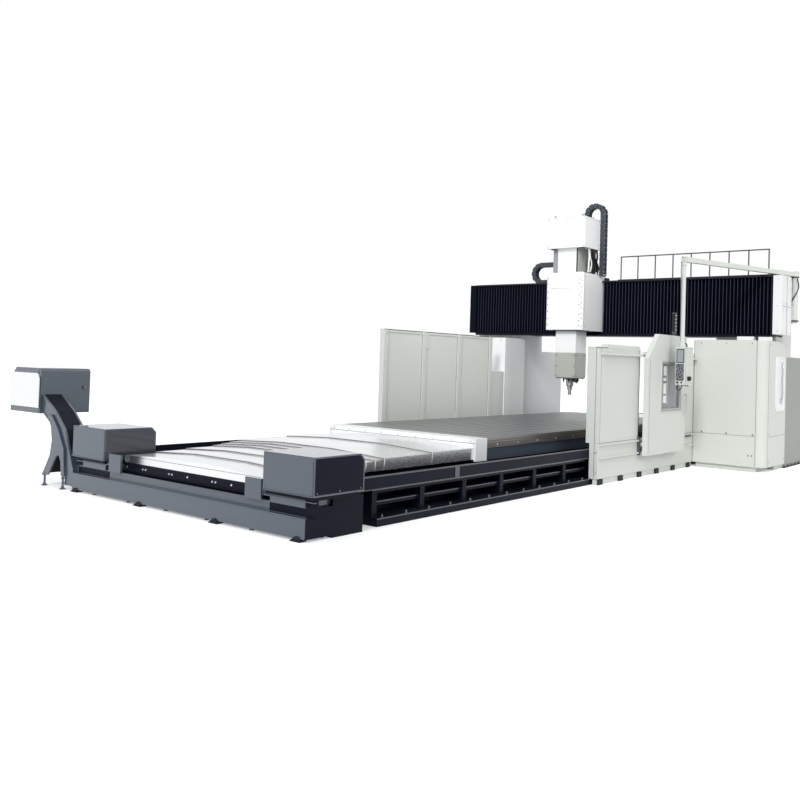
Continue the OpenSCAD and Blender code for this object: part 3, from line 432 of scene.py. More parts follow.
def frame_ring(axis, at, thick, u0, u1, v0, v1, width):
    """A rectangular frame on a face: at is the face's place on the axis."""
    strips = (
        (u0, u0 + width, v0, v1), (u1 - width, u1, v0, v1),
        (u0 + width, u1 - width, v0, v0 + width), (u0 + width, u1 - width, v1 - width, v1),
    )
    return [
        block(on_axis(axis, a, c, min(at, at + thick)), on_axis(axis, b, d, max(at, at + thick)))
        for a, b, c, d in strips
    ]


def mirrored(shapes):
    """The same shapes on the other side of the bed, with those given."""
    other = [
        ([(x, -y, z) for x, y, z in corners], [tuple(reversed(face)) for face in faces])
        for corners, faces in shapes
    ]
    return list(shapes) + other


def assemble(name, body, finish, shapes):
    """One mesh of the shapes, with its finish; it rides its body."""
    corners, faces = [], []
    for some, more in shapes:
        base = len(corners)
        corners.extend(some)
        faces.extend(tuple(base + i for i in face) for face in more)
    mesh = bpy.data.meshes.new(name)
    mesh.from_pydata(corners, [], faces)
    mesh.shade_smooth()
    mesh.set_sharp_from_angle(angle=math.radians(32))
    mesh.materials.append(MATERIALS[finish])
    piece = bpy.data.objects.new(name, mesh)
    bpy.context.collection.objects.link(piece)
    if body is not None:
        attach(piece, body)
    return piece


FRAME = "machine_frame"
FORE, AFT, NEAR, FAR, UP, DOWN = (-1, 0, 0), (1, 0, 0), (0, -1, 0), (0, 1, 0), (0, 0, 1), (0, 0, -1)


def steps(low, high, pitch):
    count = max(1, round((high - low) / pitch))
    return [low + (high - low) * i / count for i in range(count + 1)]


def trough_fittings():
    """Feet and ledge strips of the cross trough, and the painted shade on its near end."""
    feet = []
    for y in (2.28, 0.79, -0.72, -2.08):
        feet.append(prism([(y - 0.065, 0.014), (y - 0.02, 0.055), (y + 0.02, 0.055), (y + 0.065, 0.014)],
                          "x", -11.138, -11.118))
        feet += [block((-11.15, y - 0.075, 0.0), (-11.05, y + 0.075, 0.014))]
        feet += bolts([(-11.135, y - 0.05, 0.014), (-11.135, y + 0.05, 0.014)], UP, 0.010, 0.016)
    assemble("trough_feet", FRAME, "seam", feet)
    strips = [
        block((-11.128, -2.205, 0.240), (-11.118, 2.372, 0.257)),
        prism([(-0.10, 0.2545), (-0.02, 0.2545), (-0.06, 0.259)], "x", -11.118, -11.048),
        block((-11.058, -2.145, 0.350), (-11.03, 2.372, 0.364)),
    ]
    assemble("trough_strips", FRAME, "slate", strips)
    # A navy skin over the trough's near end: painted shade on that side.
    shaded_near_end = [block((-11.118, -2.207, 0.03), (-10.70, -2.1995, 0.255)), block((-11.048, -2.207, 0.255), (-10.70, -2.1995, 0.352))]
    assemble("trough_near_end_shade", FRAME, "navy", shaded_near_end)


def drive_box_fittings():
    """Front plates, side skins, brackets and screws of the auger drive boxes. The side skins on the boxes' near faces
    are darker than the slate front, as painted shade on that side, and the navy stands under the boxes also paint the
    shade beneath them.
    """
    plates, skins, dark, heads = [], [], [], []
    for s in (-1, 1):
        y0, y1 = sorted((s * 1.555, s * 2.340))
        plates.append(block((-11.155, y0 + 0.012, 0.508), (-11.1495, y1 - 0.012, 0.905)))
        plates.append(block((-11.165, y0 + 0.004, 0.496), (-11.1495, y1 - 0.004, 0.506)))
        # The side skin: a darker copy of the box paint on its near face, painted shade.
        near = y0 - 0.004, y0 + 0.0005
        skins.append(prism([(-11.13, 0.515), (-11.13, 0.90), (-10.43, 0.90), (-10.37, 0.84), (-10.37, 0.515)],
                           "y", *near))
        # Navy stands under the box, whose dark also paints the shade beneath it.
        dark.append(block((-11.13, y0 + 0.02, 0.455), (-10.42, y1 - 0.02, 0.4955)))
        dark.append(block((-11.056, y0 + 0.02, 0.262), (-11.046, y1 - 0.02, 0.455)))
        plates.append(block((-11.10, y0 + 0.03, 0.424), (-11.04, y1 + 0.10 * (s < 0) - 0.03, 0.436)))
        heads += bolts([(-11.155, y, z) for y in (y0 + 0.035, y1 - 0.035) for z in (0.54, 0.875)], FORE, 0.007, 0.005)
        heads += bolts([(x, y0 - 0.004, 0.535) for x in (-11.10, -10.75, -10.41)], NEAR, 0.007, 0.005)
    assemble("drive_box_fronts", FRAME, "slate", plates)
    assemble("drive_box_near_shade_skin", FRAME, "navy", [skins[0]])
    assemble("drive_box_far_shade_skin", FRAME, "slate_dark", [skins[1]])
    assemble("drive_box_stands_and_shade", FRAME, "navy", dark)
    assemble("drive_box_screws", FRAME, "dark_bolt", heads)
    lines = [block((-11.098, s * 1.36 - 0.09, 0.355), (-11.0895, s * 1.36 - 0.08, 0.60)) for s in (-1, 1)]
    assemble("bracket_edges", FRAME, "slate", lines)


def conveyor_fittings():
    """The head's trim strips, the incline's cover plates, and their bolts."""
    x0, x1 = -11.15, -10.36
    trim = [
        block((x0 - 0.006, 3.30, 1.035), (x0 + 0.0005, 4.10, 1.095)),
        block((x0 - 0.006, 3.33, 1.605), (x0 + 0.0005, 4.02, 1.650)),
        block((x0 + 0.02, 3.262, 1.035), (x1 - 0.02, 3.2705, 1.05)),
    ]
    assemble("head_trim", FRAME, "slate", trim)
    panel = [prism([(3.285, 1.10), (3.285, 1.53), (3.355, 1.605), (4.115, 1.605), (4.13, 1.59), (4.13, 1.10)],
                   "x", x0 - 0.024, x0 - 0.0115)]
    assemble("head_panel_skin", FRAME, "white", panel)
    heads = [block((x0 + 0.005, 3.266, 1.10), (x0 + 0.02, 3.2705, 1.60))]
    heads.append(rod((x1 - 0.10, 3.271, 1.40), (x1 - 0.10, 3.235, 1.40), 0.022, 16))
    assemble("head_bolts", FRAME, "dark_bolt", heads)
    top = [(2.39, 0.32), (2.622, 0.83), (2.901, 1.075), (3.26, 1.295)]
    ribs, pins = [], []
    for (ya, za), (yb, zb) in zip(top, top[1:]):
        length = math.hypot(yb - ya, zb - za)
        uy, uz = (yb - ya) / length, (zb - za) / length
        for t in steps(0.06, length - 0.06, 0.26):
            y, z = ya + uy * t, za + uz * t
            for side, way in ((-11.118, FORE), (-10.802, AFT)):
                pins += bolt((side, y + uz * 0.014, z - uy * 0.014), way, 0.005, 0.004)
        ribs.append(([(x, a, b) for x in (-11.085, -10.835) for a, b in
                      ((ya - uz * 0.004, za + uy * 0.004), (yb - uz * 0.004, zb + uy * 0.004),
                       (yb + uz * 0.02, zb - uy * 0.02), (ya + uz * 0.02, za - uy * 0.02))],
                     [(0, 1, 2, 3), (7, 6, 5, 4), (0, 4, 5, 1), (3, 2, 6, 7),
                                                         (0, 3, 7, 4), (1, 5, 6, 2)]))
    assemble("incline_deck", FRAME, "navy", ribs)
    assemble("leg_cross_plate", FRAME, "navy", [prism(
        [(3.12, 0.17), (3.03, 0.30), (2.94, 0.45), (2.90, 0.62), (2.892, 0.62), (2.932, 0.45), (3.022, 0.30), (3.11, 0.17)],
        "x", -11.118, -10.802)])
    assemble("incline_bolts", FRAME, "dark_bolt", pins)
    nuts = []
    for x in (-11.13, -10.79):
        for y in (2.60, 3.09):
            nuts += [rod((x, y, 0.014), (x, y, 0.034), 0.026, 6), rod((x, y, 0.145), (x, y, 0.165), 0.026, 6)]
    assemble("leg_nuts", FRAME, "dark_bolt", nuts)


def bed_fittings():
    """Anchor bolts, ledge strips and joint plates along the bed's sides."""
    anchors, strips, plates = [], [], []
    for x in steps(-9.75, 9.75, 0.935 / 2):
        anchors += bolt((x, -2.105, 0.10), UP, 0.016, 0.035)
    strips.append(block((-9.87, -2.056, 0.412), (9.87, -2.049, 0.431)))
    strips.append(block((-9.87, -2.014, 0.262), (9.87, -2.009, 0.2755)))
    strips.append(block((-9.87, -2.1405, 0.084), (9.87, -2.137, 0.1005)))
    strips.append(block((-10.35, -2.098, 0.578), (10.35, -2.0935, 0.597)))
    strips.append(block((-10.35, -2.098, 0.43), (10.35, -2.0935, 0.442)))
    for x in steps(-8.2, 8.2, 4.1):
        plates.append(block((x - 0.05, -2.100, 0.442), (x + 0.05, -2.0935, 0.578)))
    assemble("bed_anchors", FRAME, "dark_bolt", mirrored(anchors))
    assemble("bed_edge_strips", FRAME, "slate_dark", mirrored(strips))
    # Navy skins on the stands' side faces, beside the trough's near end: painted shade.
    assemble("stand_shade_skins", FRAME, "navy", mirrored([block((-10.705, -2.2035, 0.0), (-10.20, -2.1995, 0.43))]))
    assemble("gutter_joint_plates", FRAME, "slate_dark", mirrored(plates))
    scrapers = [block((x, -0.45, 0.455), (x + 0.02, 0.45, 0.50)) for x in (-10.57, 10.55)]
    assemble("bed_end_ledges", FRAME, "seam", scrapers)


def cover_section_line(level):
    """The outer line of a cover section, from one skirt's foot over to the other."""
    y, z = 1.46 - level * 0.011, 0.742 - level * 0.016
    return [(-y, 0.52), (-y, z - 0.05), (-0.52, z), (0.52, z), (y, z - 0.05), (y, 0.52)]


def band_over(level, x0, x1, rise):
    """A thin band over a cover section between two places along the bed."""
    line = cover_section_line(level)
    outer = [(y * (1 + rise / 2.8), z + (rise if 0 < i < 5 else 0)) for i, (y, z) in enumerate(line)]
    shapes = []
    for i in range(5):
        quad = [line[i], outer[i], outer[i + 1], line[i + 1]]
        shapes.append(prism(quad, "x", x0, x1))
    return shapes


def cover_lips():
    """Each section's folded lip, rubber wiper and row of rivets."""
    lips = [-10.95, -10.45, -9.95, -9.46, -9.29, -9.12, -8.95, -7.92]
    for k in range(2, 9):
        body = "table" if k == 8 else f"front_cover_{k}"
        level, x = 8 - k, lips[k - 1]
        assemble(f"front_lip_{k}", body, "bolt", band_over(level, x - 0.0005, x + 0.022, 0.0018))
        assemble(f"front_wiper_{k}", body, "wiper", band_over(level, x - 0.005, x - 0.0005, -0.011))
    for k in range(2, 7):
        body = "table" if k == 6 else f"rear_cover_{k}"
        level, x = 6 - k, 10.95 - (k - 1) * 1.57
        assemble(f"rear_lip_{k}", body, "bolt", band_over(level, x - 0.026, x + 0.0005, 0.0022))
        assemble(f"rear_wiper_{k}", body, "wiper", band_over(level, x + 0.0005, x + 0.006, -0.012))


def cover_fronts():
    """The dark bolted strips under the fixed sections' outer edges, and above them a navy band that is painted shade in
    the gap under each cover's end.
    """
    strips, dark, heads, crowns = [], [], [], []
    for x, way in ((-10.95, FORE), (10.95, AFT)):
        s = way[0]
        y = 1.375 if s < 0 else 1.395
        low, high = sorted((x + s * 0.0005, x + s * 0.005))
        # A thin navy band under each cover's end: painted shade in the gap there.
        dark.append(block((low, -y, 0.446), (high, y, 0.492)))
        low, high = sorted((x, x - s * 0.003))
        crowns.append(prism([(-y, 0.575), (-0.52, 0.626), (0.52, 0.626), (y, 0.575)], "x", low, high))
        low, high = sorted((x + s * 0.0005, x + s * 0.014))
        strips.append(block((low, -y - 0.01, 0.365), (high, y + 0.01, 0.446)))
        places = [(x + s * 0.014, b, 0.436) for b in (1.3, 0.95, 0.89, 0.39, 0.33, 0.02, -0.46, -0.52, -0.81, -1.2)]
        heads += bolts(places, way, 0.009, 0.008)
    assemble("cover_end_gap_shade", FRAME, "navy", dark)
    assemble("cover_end_strips", FRAME, "navy", strips)
    assemble("cover_end_crowns", FRAME, "cover", crowns)
    assemble("cover_end_bolts", FRAME, "bolt", heads)


def table_fittings():
    """The table's side bands, apron bolts and edge strips."""
    band, brown, light, heads, dark = [], [], [], [], []
    for s in (-1, 1):
        outer = s * 1.5
        for thick, z0, z1, kind in ((0.004, 0.772, 0.792, brown), (0.003, 0.806, 0.829, light),
                                    (0.003, 0.69, 0.760, band)):
            a, b = sorted((outer - s * 0.0005, outer + s * thick))
            kind.append(block((-6.58, a, z0), (1.42, b, z1)))
        heads += bolts([(x, outer + s * 0.003, 0.72) for x in steps(-6.3, 1.1, 0.62)], (0, s, 0), 0.012, 0.009)
        a, b = sorted((s * 1.4705, s * 1.474))
        dark.append(block((-6.58, a, 0.50), (1.42, b, 0.675)))
    # Dark walls inside each T-slot: painted shade in the slots.
    slot_shade = []
    for i in range(-7, 8):
        for a, b in ((-0.0141, -0.0130), (0.0130, 0.0141)):
            slot_shade.append(block((-6.579, i * 0.2 + a, 0.784), (1.419, i * 0.2 + b, 0.8288)))
    assemble("slot_wall_shade", "table", "seam", slot_shade)
    assemble("table_side_bands", "table", "iron_side", band)
    assemble("table_oil_lines", "table", "oiled", brown)
    assemble("table_edge_strips", "table", "iron", light)
    assemble("table_skirt_skins", "table", "slate", dark)
    aprons = []
    for x, way in ((-6.88, FORE), (1.72, AFT)):
        heads += bolts([(x, y, 0.785) for y in steps(-1.4, 1.4, 0.35)], way, 0.010, 0.007)
        s = way[0]
        low, high = sorted((x, x + s * 0.003))
        aprons.append(block((low, -1.49, 0.755), (high, 1.49, 0.760)))
    for x0, x1 in ((-6.875, -6.59), (1.43, 1.715)):
        heads += bolts([(x, y, 0.83) for x in (x0 + 0.05, x1 - 0.05) for y in steps(-1.4, 1.4, 0.7)],
                       UP, 0.010, 0.006)
    assemble("table_bolts", "table", "bolt", heads)
    assemble("apron_folds", "table", "seam", aprons)


def bellows_pleats():
    """The folded cloth on both sides of the saddle, on its stiff frames."""
    runs = (
        ("bellows_near", -3.5797, 0.1487, FRAME, "saddle", 50),
        ("bellows_far", 3.5797, 1.0713, FRAME, "saddle", 33),
    )
    for node, start, end, fixed, moving, count in runs:
        pitch = (end - start) / count
        line = []
        for i in range(count):
            y = start + i * pitch
            line += [(0.668, y), (0.640, y + pitch * 0.10), (0.586, y + pitch * 0.42), (0.5805, y + pitch * 0.5),
                     (0.586, y + pitch * 0.58), (0.640, y + pitch * 0.90)]
        line.append((0.668, end))
        corners, faces = [], []
        for x, y in line:
            corners += [(x, y, 2.731), (x, y, 3.899)]
        for i in range(len(line) - 1):
            face = (2 * i, 2 * i + 1, 2 * i + 3, 2 * i + 2)
            faces.append(face if end > start else tuple(reversed(face)))
        base = len(corners)
        lower, upper = min(start, end), max(start, end)
        back = block((0.655, lower, 2.731), (0.6695, upper, 3.899))
        strips = 60
        cloth = [(corners, faces)]
        for i in range(strips):
            a = lower + (upper - lower) * i / strips
            b = lower + (upper - lower) * (i + 1) / strips
            cloth.append(block((0.655, a, 2.731), (0.6695, b, 3.899)))
        piece = assemble(f"{node}_cloth", None, "bellows", cloth)
        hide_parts(node)
        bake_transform(piece)
        rims = []
        for i in range(1, count):
            y = start + i * pitch
            rims.append(block((0.578, y - 0.003, 3.894), (0.668, y + 0.003, 3.8995)))
        # Lighter strips along each pleat's outer crest: a painted highlight where the folds catch the light.
        highlight_strips = [block((0.5785, start + (i + 0.5) * pitch - 0.004, 2.735), (0.5812, start + (i + 0.5) * pitch + 0.004, 3.895))
                  for i in range(count)]
        for name, finish, shapes in (("rims", "seam", rims), ("highlight_strips", "crest_highlight", highlight_strips)):
            strip = assemble(f"{node}_{name}", None, finish, shapes)
            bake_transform(strip)


def chain_links(path, width_axis, low, high, thick, pitch=0.11):
    """Link plates, cross bars and cables along a path of points in one plane."""
    path = [Vector(p) for p in path]
    marks, travelled = [], 0.0
    for a, b in zip(path, path[1:]):
        length = (b - a).length
        while travelled <= length:
            marks.append((a + (b - a) * (travelled / length), (b - a).normalized()))
            travelled += pitch
        travelled -= length
    axis = Vector(width_axis)
    plates, bars = [], []
    for place, along in marks:
        across = along.cross(axis)
        half, tall = pitch * 0.56, thick / 2
        outline = []
        for turn in (-60, -20, 20, 60):
            c, s = math.cos(math.radians(turn)), math.sin(math.radians(turn))
            outline.append(along * (half - tall * 0.55 + tall * 0.55 * c) + across * tall * s / math.sin(math.radians(60)))
        outline += [-p for p in outline]
        for w0, w1 in ((low, low + 0.014), (high - 0.014, high)):
            n = len(outline)
            corners = [tuple(place + p + axis * w) for w in (w0, w1) for p in outline]
            sides = [(i, (i + 1) % n, n + (i + 1) % n, n + i) for i in range(n)]
            plates.append((corners, [tuple(reversed(range(n))), tuple(range(n, 2 * n)), *sides]))
        for t in (-1, 1):
            centre = place + across * (t * (tall - 0.006))
            corners = [
                tuple(centre + along * a + across * b + axis * w)
                for a in (-0.022, 0.022) for b in (-0.005, 0.005) for w in (low + 0.002, high - 0.002)
            ]
            bars.append((corners, [(0, 1, 3, 2), (4, 6, 7, 5), (0, 4, 5, 1), (2, 3, 7, 6), (0, 2, 6, 4), (1, 5, 7, 3)]))
    return plates, bars


def arc(centre, radius, first, last, count, plane):
    """Points on an arc in the YZ plane at x = plane."""
    out = []
    for i in range(count + 1):
        turn = math.radians(first + (last - first) * i / count)
        out.append((plane, centre[0] + radius * math.cos(turn), centre[1] + radius * math.sin(turn)))
    return out


def ram_drag_chain():
    """The chain that follows the ram, from the saddle up, over and down to the head cover."""
    path = [(0.4653, 0.10, 4.08)] + arc((0.30, 5.44), 0.20, 180, 0, 24, 0.4653) + [(0.4653, 0.50, 4.70)]
    plates, bars = chain_links(path, (1, 0, 0), -0.088, 0.088, 0.104)
    cables = []
    for w, r in ((-0.05, 0.017), (-0.012, 0.013), (0.028, 0.019), (0.062, 0.010)):
        line = [(0.4653 + w, 0.10, 4.08), (0.4653 + w, 0.10, 4.7), (0.4653 + w, 0.10, 5.3)]
        line += arc((0.30, 5.44), 0.20, 170, 10, 6, 0.4653 + w) + [(0.4653 + w, 0.50, 5.3), (0.4653 + w, 0.50, 4.72)]
        cables.append(hose(line, r, 8, 5))
    assemble("ram_chain_foot", "saddle", "bolt", [block((0.378, 0.045, 4.0405), (0.543, 0.27, 4.058))])
    assemble("ram_chain_clamp", "ram", "bolt", [block((0.3755, 0.446, 4.685), (0.39, 0.554, 4.80))])
    for name, finish, shapes in (("ram_chain_plates", "chain", plates), ("ram_chain_bars", "seam", bars),
                                 ("ram_chain_cables", "grey_plastic", cables)):
        piece = assemble(name, None, finish, shapes)
        if name == "ram_chain_plates":
            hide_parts("ram_chain")
        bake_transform(piece)


def saddle_drag_chain():
    """The chain loop that supplies the saddle, on the beam's top."""
    y_turn, z_low, z_high = 1.87, 3.9753, 4.3953
    mid = (z_low + z_high) / 2
    path = [(0.86, 0.22, z_low)] + arc((y_turn, mid), 0.21, -90, 90, 24, 0.86) + [(0.86, 1.33, z_high)]
    plates, bars = chain_links(path, (1, 0, 0), -0.09, 0.09, 0.104)
    cables = []
    for w, r in ((-0.05, 0.015), (-0.01, 0.018), (0.035, 0.013)):
        line = [(0.86 + w, 0.24, z_low), (0.86 + w, 1.0, z_low), (0.86 + w, 1.7, z_low)]
        line += arc((y_turn, mid), 0.21, -80, 80, 6, 0.86 + w) + [(0.86 + w, 1.7, z_high), (0.86 + w, 1.33, z_high)]
        cables.append(hose(line, r, 8, 5))
    assemble("saddle_chain_plates", "saddle", "chain", plates)
    assemble("saddle_chain_bars", "saddle", "seam", bars)
    assemble("saddle_chain_cables", "saddle", "black", cables)
    stand = [
        block((0.63, 0.871, 4.04), (0.95, 0.991, 4.07)), block((0.79, 0.871, 4.07), (0.93, 1.411, 4.3505)),
        block((0.78, 1.30, 4.345), (0.94, 1.411, 4.352)),
    ]
    piece = assemble("saddle_chain_stand", "saddle", "rail_grey", stand)
    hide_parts("saddle_chain")
    assemble("saddle_chain_stand_bolts", "saddle", "bolt",
             bolts([(0.79, y, z) for y in (0.95, 1.15, 1.35) for z in (4.12, 4.29)], FORE, 0.010, 0.008))


def saddle_fittings():
    """The saddle's front plate with its screws, wipers, edge bands and hoses."""
    x = -0.38
    front = [
        prism([(x - 0.010, 3.700), (x - 0.010, 3.712), (x + 0.0005, 3.722), (x + 0.0005, 3.690)], "y", 0.30, 0.94),
        block((x - 0.004, 0.30, 3.712), (x + 0.0005, 0.304, 3.985)), block((x - 0.004, 0.936, 3.712), (x + 0.0005, 0.94, 3.985)),
    ]
    assemble("saddle_front_ridge", "saddle", "white", front)
    seams = [
        block((-0.32, 0.1465, 2.765), (-0.316, 0.1492, 4.04)), block((-0.32, 1.0708, 2.765), (-0.316, 1.0735, 4.04)),
    ]
    assemble("saddle_seams", "saddle", "seam", seams)
    heads = bolts([(x, 1.02, z) for z in (2.88, 3.02, 3.18, 3.33, 3.48, 3.62, 3.80, 3.92)], FORE, 0.0085, 0.005)
    heads += bolts([(x, 0.178, z) for z in (2.84, 3.02, 3.12, 3.25, 3.36, 3.48, 3.60, 3.72, 3.86, 3.95)],
                   FORE, 0.0085, 0.005)
    heads += bolts([(x, 0.238, z) for z in (2.86, 2.96, 3.10, 3.32, 3.54, 3.80, 3.90)], FORE, 0.0085, 0.005)
    heads += bolts([(xx, 0.1487, z) for xx in (-0.27, 0.60) for z in (2.85, 3.95)], NEAR, 0.008, 0.005)
    heads += bolts([(xx, 1.0713, z) for xx in (-0.27, 0.60) for z in (2.85, 3.95)], FAR, 0.008, 0.005)
    assemble("saddle_screws", "saddle", "dark_bolt", heads)
    collar = frame_ring("z", 4.0402, 0.02, -0.31, 0.31, 0.30, 0.92, 0.052)
    collar += frame_ring("z", 2.7648, -0.016, -0.31, 0.31, 0.30, 0.92, 0.052)
    assemble("ram_wipers", "saddle", "black", collar)
    rails = [block((-0.36, 0.17, 4.04), (-0.34, 1.05, 4.052)), block((0.52, 0.17, 4.04), (0.54, 1.05, 4.052))]
    rails += [rod((0.30, 0.20, 4.04), (0.30, 0.20, 4.10), 0.03, 16), rod((0.30, 1.02, 4.04), (0.30, 1.02, 4.10), 0.03, 16)]
    assemble("saddle_top_trims", "saddle", "white", rails)
    boxes = [block((0.40, 0.62, 4.04), (0.60, 0.84, 4.11)), block((-0.06, 0.165, 4.04), (0.04, 0.225, 4.075))]
    assemble("saddle_top_boxes", "saddle", "rail_grey", boxes)
    bundle = []
    for i in range(9):
        x0, y0 = 0.10 + 0.045 * i, 0.20 + 0.05 * (i % 3)
        x1, y1 = 0.02 + 0.035 * i, 0.18 + 0.03 * (i % 2)
        lean = 0.03 * math.sin(2.2 * i)
        bundle.append(hose([(x0, y0, 4.042), (x0 + lean, y0 - 0.02, 4.22), (x1 - lean, y1, 4.42), (x1, y1, 4.598)], 0.021, 10, 7))
    light = [
        hose([(-0.06, 0.20, 4.07), (-0.10, 0.17, 4.25), (-0.05, 0.19, 4.44), (-0.07, 0.20, 4.598)], 0.017, 10, 8),
        hose([(0.0, 0.19, 4.042), (0.02, 0.16, 4.25), (-0.02, 0.18, 4.43), (0.0, 0.20, 4.598)], 0.013, 10, 8),
    ]
    folds = []
    for i in range(14):
        z = 4.044 + i * 0.0395
        folds.append(block((-0.235, 0.875, z), (0.235, 0.985, z + 0.024)))
        folds.append(block((-0.228, 0.882, z + 0.024), (0.228, 0.978, z + 0.0395)))
    for name, finish, shapes in (("ram_hose_bundle", "black", bundle), ("ram_hoses", "white", light),
                                 ("ram_guide_folds", "grey_plastic", folds),
                                 ("ram_side_sheet", "ram_grey", [block((-0.249, 0.352, 4.044), (0.249, 0.3595, 4.597))]),
                                 ("ram_corner_strip", "seam", [block((-0.256, 0.362, 4.044), (-0.2505, 0.395, 4.597))])):
        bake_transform(assemble(name, None, finish, shapes))


def ram_fittings():
    """The ram's lower sleeve, nose plate, coolant nozzles, and the head cover's trims."""
    sleeve = [
        block((-0.2525, 0.3575, 1.705), (-0.2498, 0.8625, 2.26)), block((0.2498, 0.3575, 1.705), (0.2525, 0.8625, 2.26)),
        block((-0.2525, 0.3575, 1.705), (0.2525, 0.3602, 2.26)), block((-0.2525, 0.8598, 1.705), (0.2525, 0.8625, 2.26)),
    ]
    assemble("ram_sleeve", "ram", "ram_grey", sleeve)
    nose = frame_ring("z", 1.6995, -0.018, -0.235, 0.235, 0.375, 0.845, 0.085)
    assemble("ram_nose_plate", "ram", "rail_grey", nose)
    heads = bolts([(x, y, 1.6815) for x in (-0.2, 0, 0.2) for y in (0.41, 0.61, 0.81) if (x, y) != (0, 0.61)],
                  DOWN, 0.012, 0.010)
    heads += bolts([(-0.2525, y, z) for y in (0.39, 0.83) for z in (1.74, 1.95, 2.2)], FORE, 0.010, 0.006)
    heads += bolts([(x, 0.3575, z) for x in (-0.2, 0.2) for z in (1.74, 2.2)], NEAR, 0.010, 0.006)
    assemble("ram_screws", "ram", "dark_bolt", heads)
    nozzles, tips = [], []
    for turn in (-100, -70, -40, 80, 200):
        c, s = math.cos(math.radians(turn)), math.sin(math.radians(turn))
        x, y = 0.178 * c, 0.61 + 0.178 * s
        nozzles += [rod((x, y, 1.684), (x, y, 1.635), 0.022, 12), rod((x, y, 1.635), (x * 0.92, y - 0.006 * s, 1.60), 0.015, 10)]
        tips.append(rod((x * 0.92, y - 0.006 * s, 1.60), (x * 0.84, y - 0.02 * s, 1.565), 0.011, 10, 0.006))
    nozzles += [block((-0.16, 0.40, 1.63), (-0.08, 0.47, 1.684)), block((-0.20, 0.375, 1.60), (-0.15, 0.42, 1.684))]
    assemble("coolant_nozzles", "ram", "black", nozzles)
    assemble("coolant_tips", "ram", "bolt", tips)
    z0, z1 = 4.60, 5.29
    trims = frame_ring("x", -0.364, -0.004, 0.15, 1.07, z0 + 0.004, z1 - 0.004, 0.012)
    trims += [
        block((-0.34, 0.147, z0 + 0.004), (0.36, 0.1505, z0 + 0.018)), block((-0.34, 0.147, z1 - 0.018), (0.36, 0.1505, z1 - 0.004)),
        block((-0.34, 1.0695, z0 + 0.004), (0.36, 1.073, z0 + 0.018)), block((-0.34, 1.0695, z1 - 0.018), (0.36, 1.073, z1 - 0.004)),
        block((-0.34, 0.17, z1 - 0.0005), (0.35, 1.05, z1 + 0.006)),
    ]
    assemble("head_trims", "ram", "white", trims)
    under = [block((-0.345, 0.19, z0 - 0.045), (-0.27, 0.30, z0)), block((-0.345, 0.86, z0 - 0.03), (-0.29, 0.98, z0))]
    assemble("head_underside_parts", "ram", "rail_grey", under)
    heads = bolts([(-0.368, y, z) for y in (0.175, 0.38, 0.61, 0.84, 1.045) for z in (z0 + 0.03, z1 - 0.03)], FORE, 0.008, 0.005)
    heads += bolts([(x, 0.149, z) for x in (-0.3, 0.0, 0.32) for z in (z0 + 0.03, z1 - 0.03)], NEAR, 0.008, 0.005)
    heads += bolts([(x, 1.071, z) for x in (-0.3, 0.0, 0.32) for z in (z0 + 0.03, z1 - 0.03)], FAR, 0.008, 0.005)
    assemble("head_screws", "ram", "bolt", heads)
    vents = []
    for i in range(9):
        z = 4.72 + i * 0.028
        vents.append(block((0.3745, 0.64, z), (0.3785, 0.98, z + 0.012)))
        vents.append(block((0.05, 1.0695, z), (0.30, 1.0735, z + 0.012)))
    assemble("head_vents", "ram", "seam", vents)
    eyes = []
    for x, y in ((-0.25, 0.27), (-0.25, 0.95), (0.26, 0.27), (0.26, 0.95)):
        eyes.append(rod((x, y, z1 + 0.005), (x, y, z1 + 0.018), 0.022, 14))
        eyes.append(hose([(x - 0.022, y, z1 + 0.016), (x - 0.024, y, z1 + 0.045), (x, y, z1 + 0.064),
                          (x + 0.024, y, z1 + 0.045), (x + 0.022, y, z1 + 0.016)], 0.007, 8, 5))
    assemble("head_eye_bolts", "ram", "dark_bolt", eyes)


def spindle_fittings():
    """Nose bolts, drive keys and the cutter's inserts, which turn with the spindle."""
    heads, keys, teeth = [], [], []
    for i in range(12):
        turn = math.radians(30 * i)
        heads += bolt((0.122 * math.cos(turn), 0.61 + 0.122 * math.sin(turn), 1.6805), DOWN, 0.008, 0.010)
    for i in range(2):
        s = 1 if i else -1
        keys.append(block((min(s * 0.045, s * 0.088), 0.61 - 0.014, 1.475), (max(s * 0.045, s * 0.088), 0.61 + 0.014, 1.515)))
    for i in range(6):
        turn = math.radians(60 * i)
        c, s = math.cos(turn), math.sin(turn)
        for z in (1.318, 1.348, 1.378):
            place = Vector((0.037 * c, 0.61 + 0.037 * s, z))
            teeth.append(rod(place, place + Vector((0.006 * c, 0.006 * s, 0)), 0.009, 4))
    assemble("spindle_bolts", "spindle", "dark_bolt", heads)
    assemble("spindle_keys", "spindle", "bolt", keys)
    assemble("cutter_inserts", "spindle", "oiled", teeth)


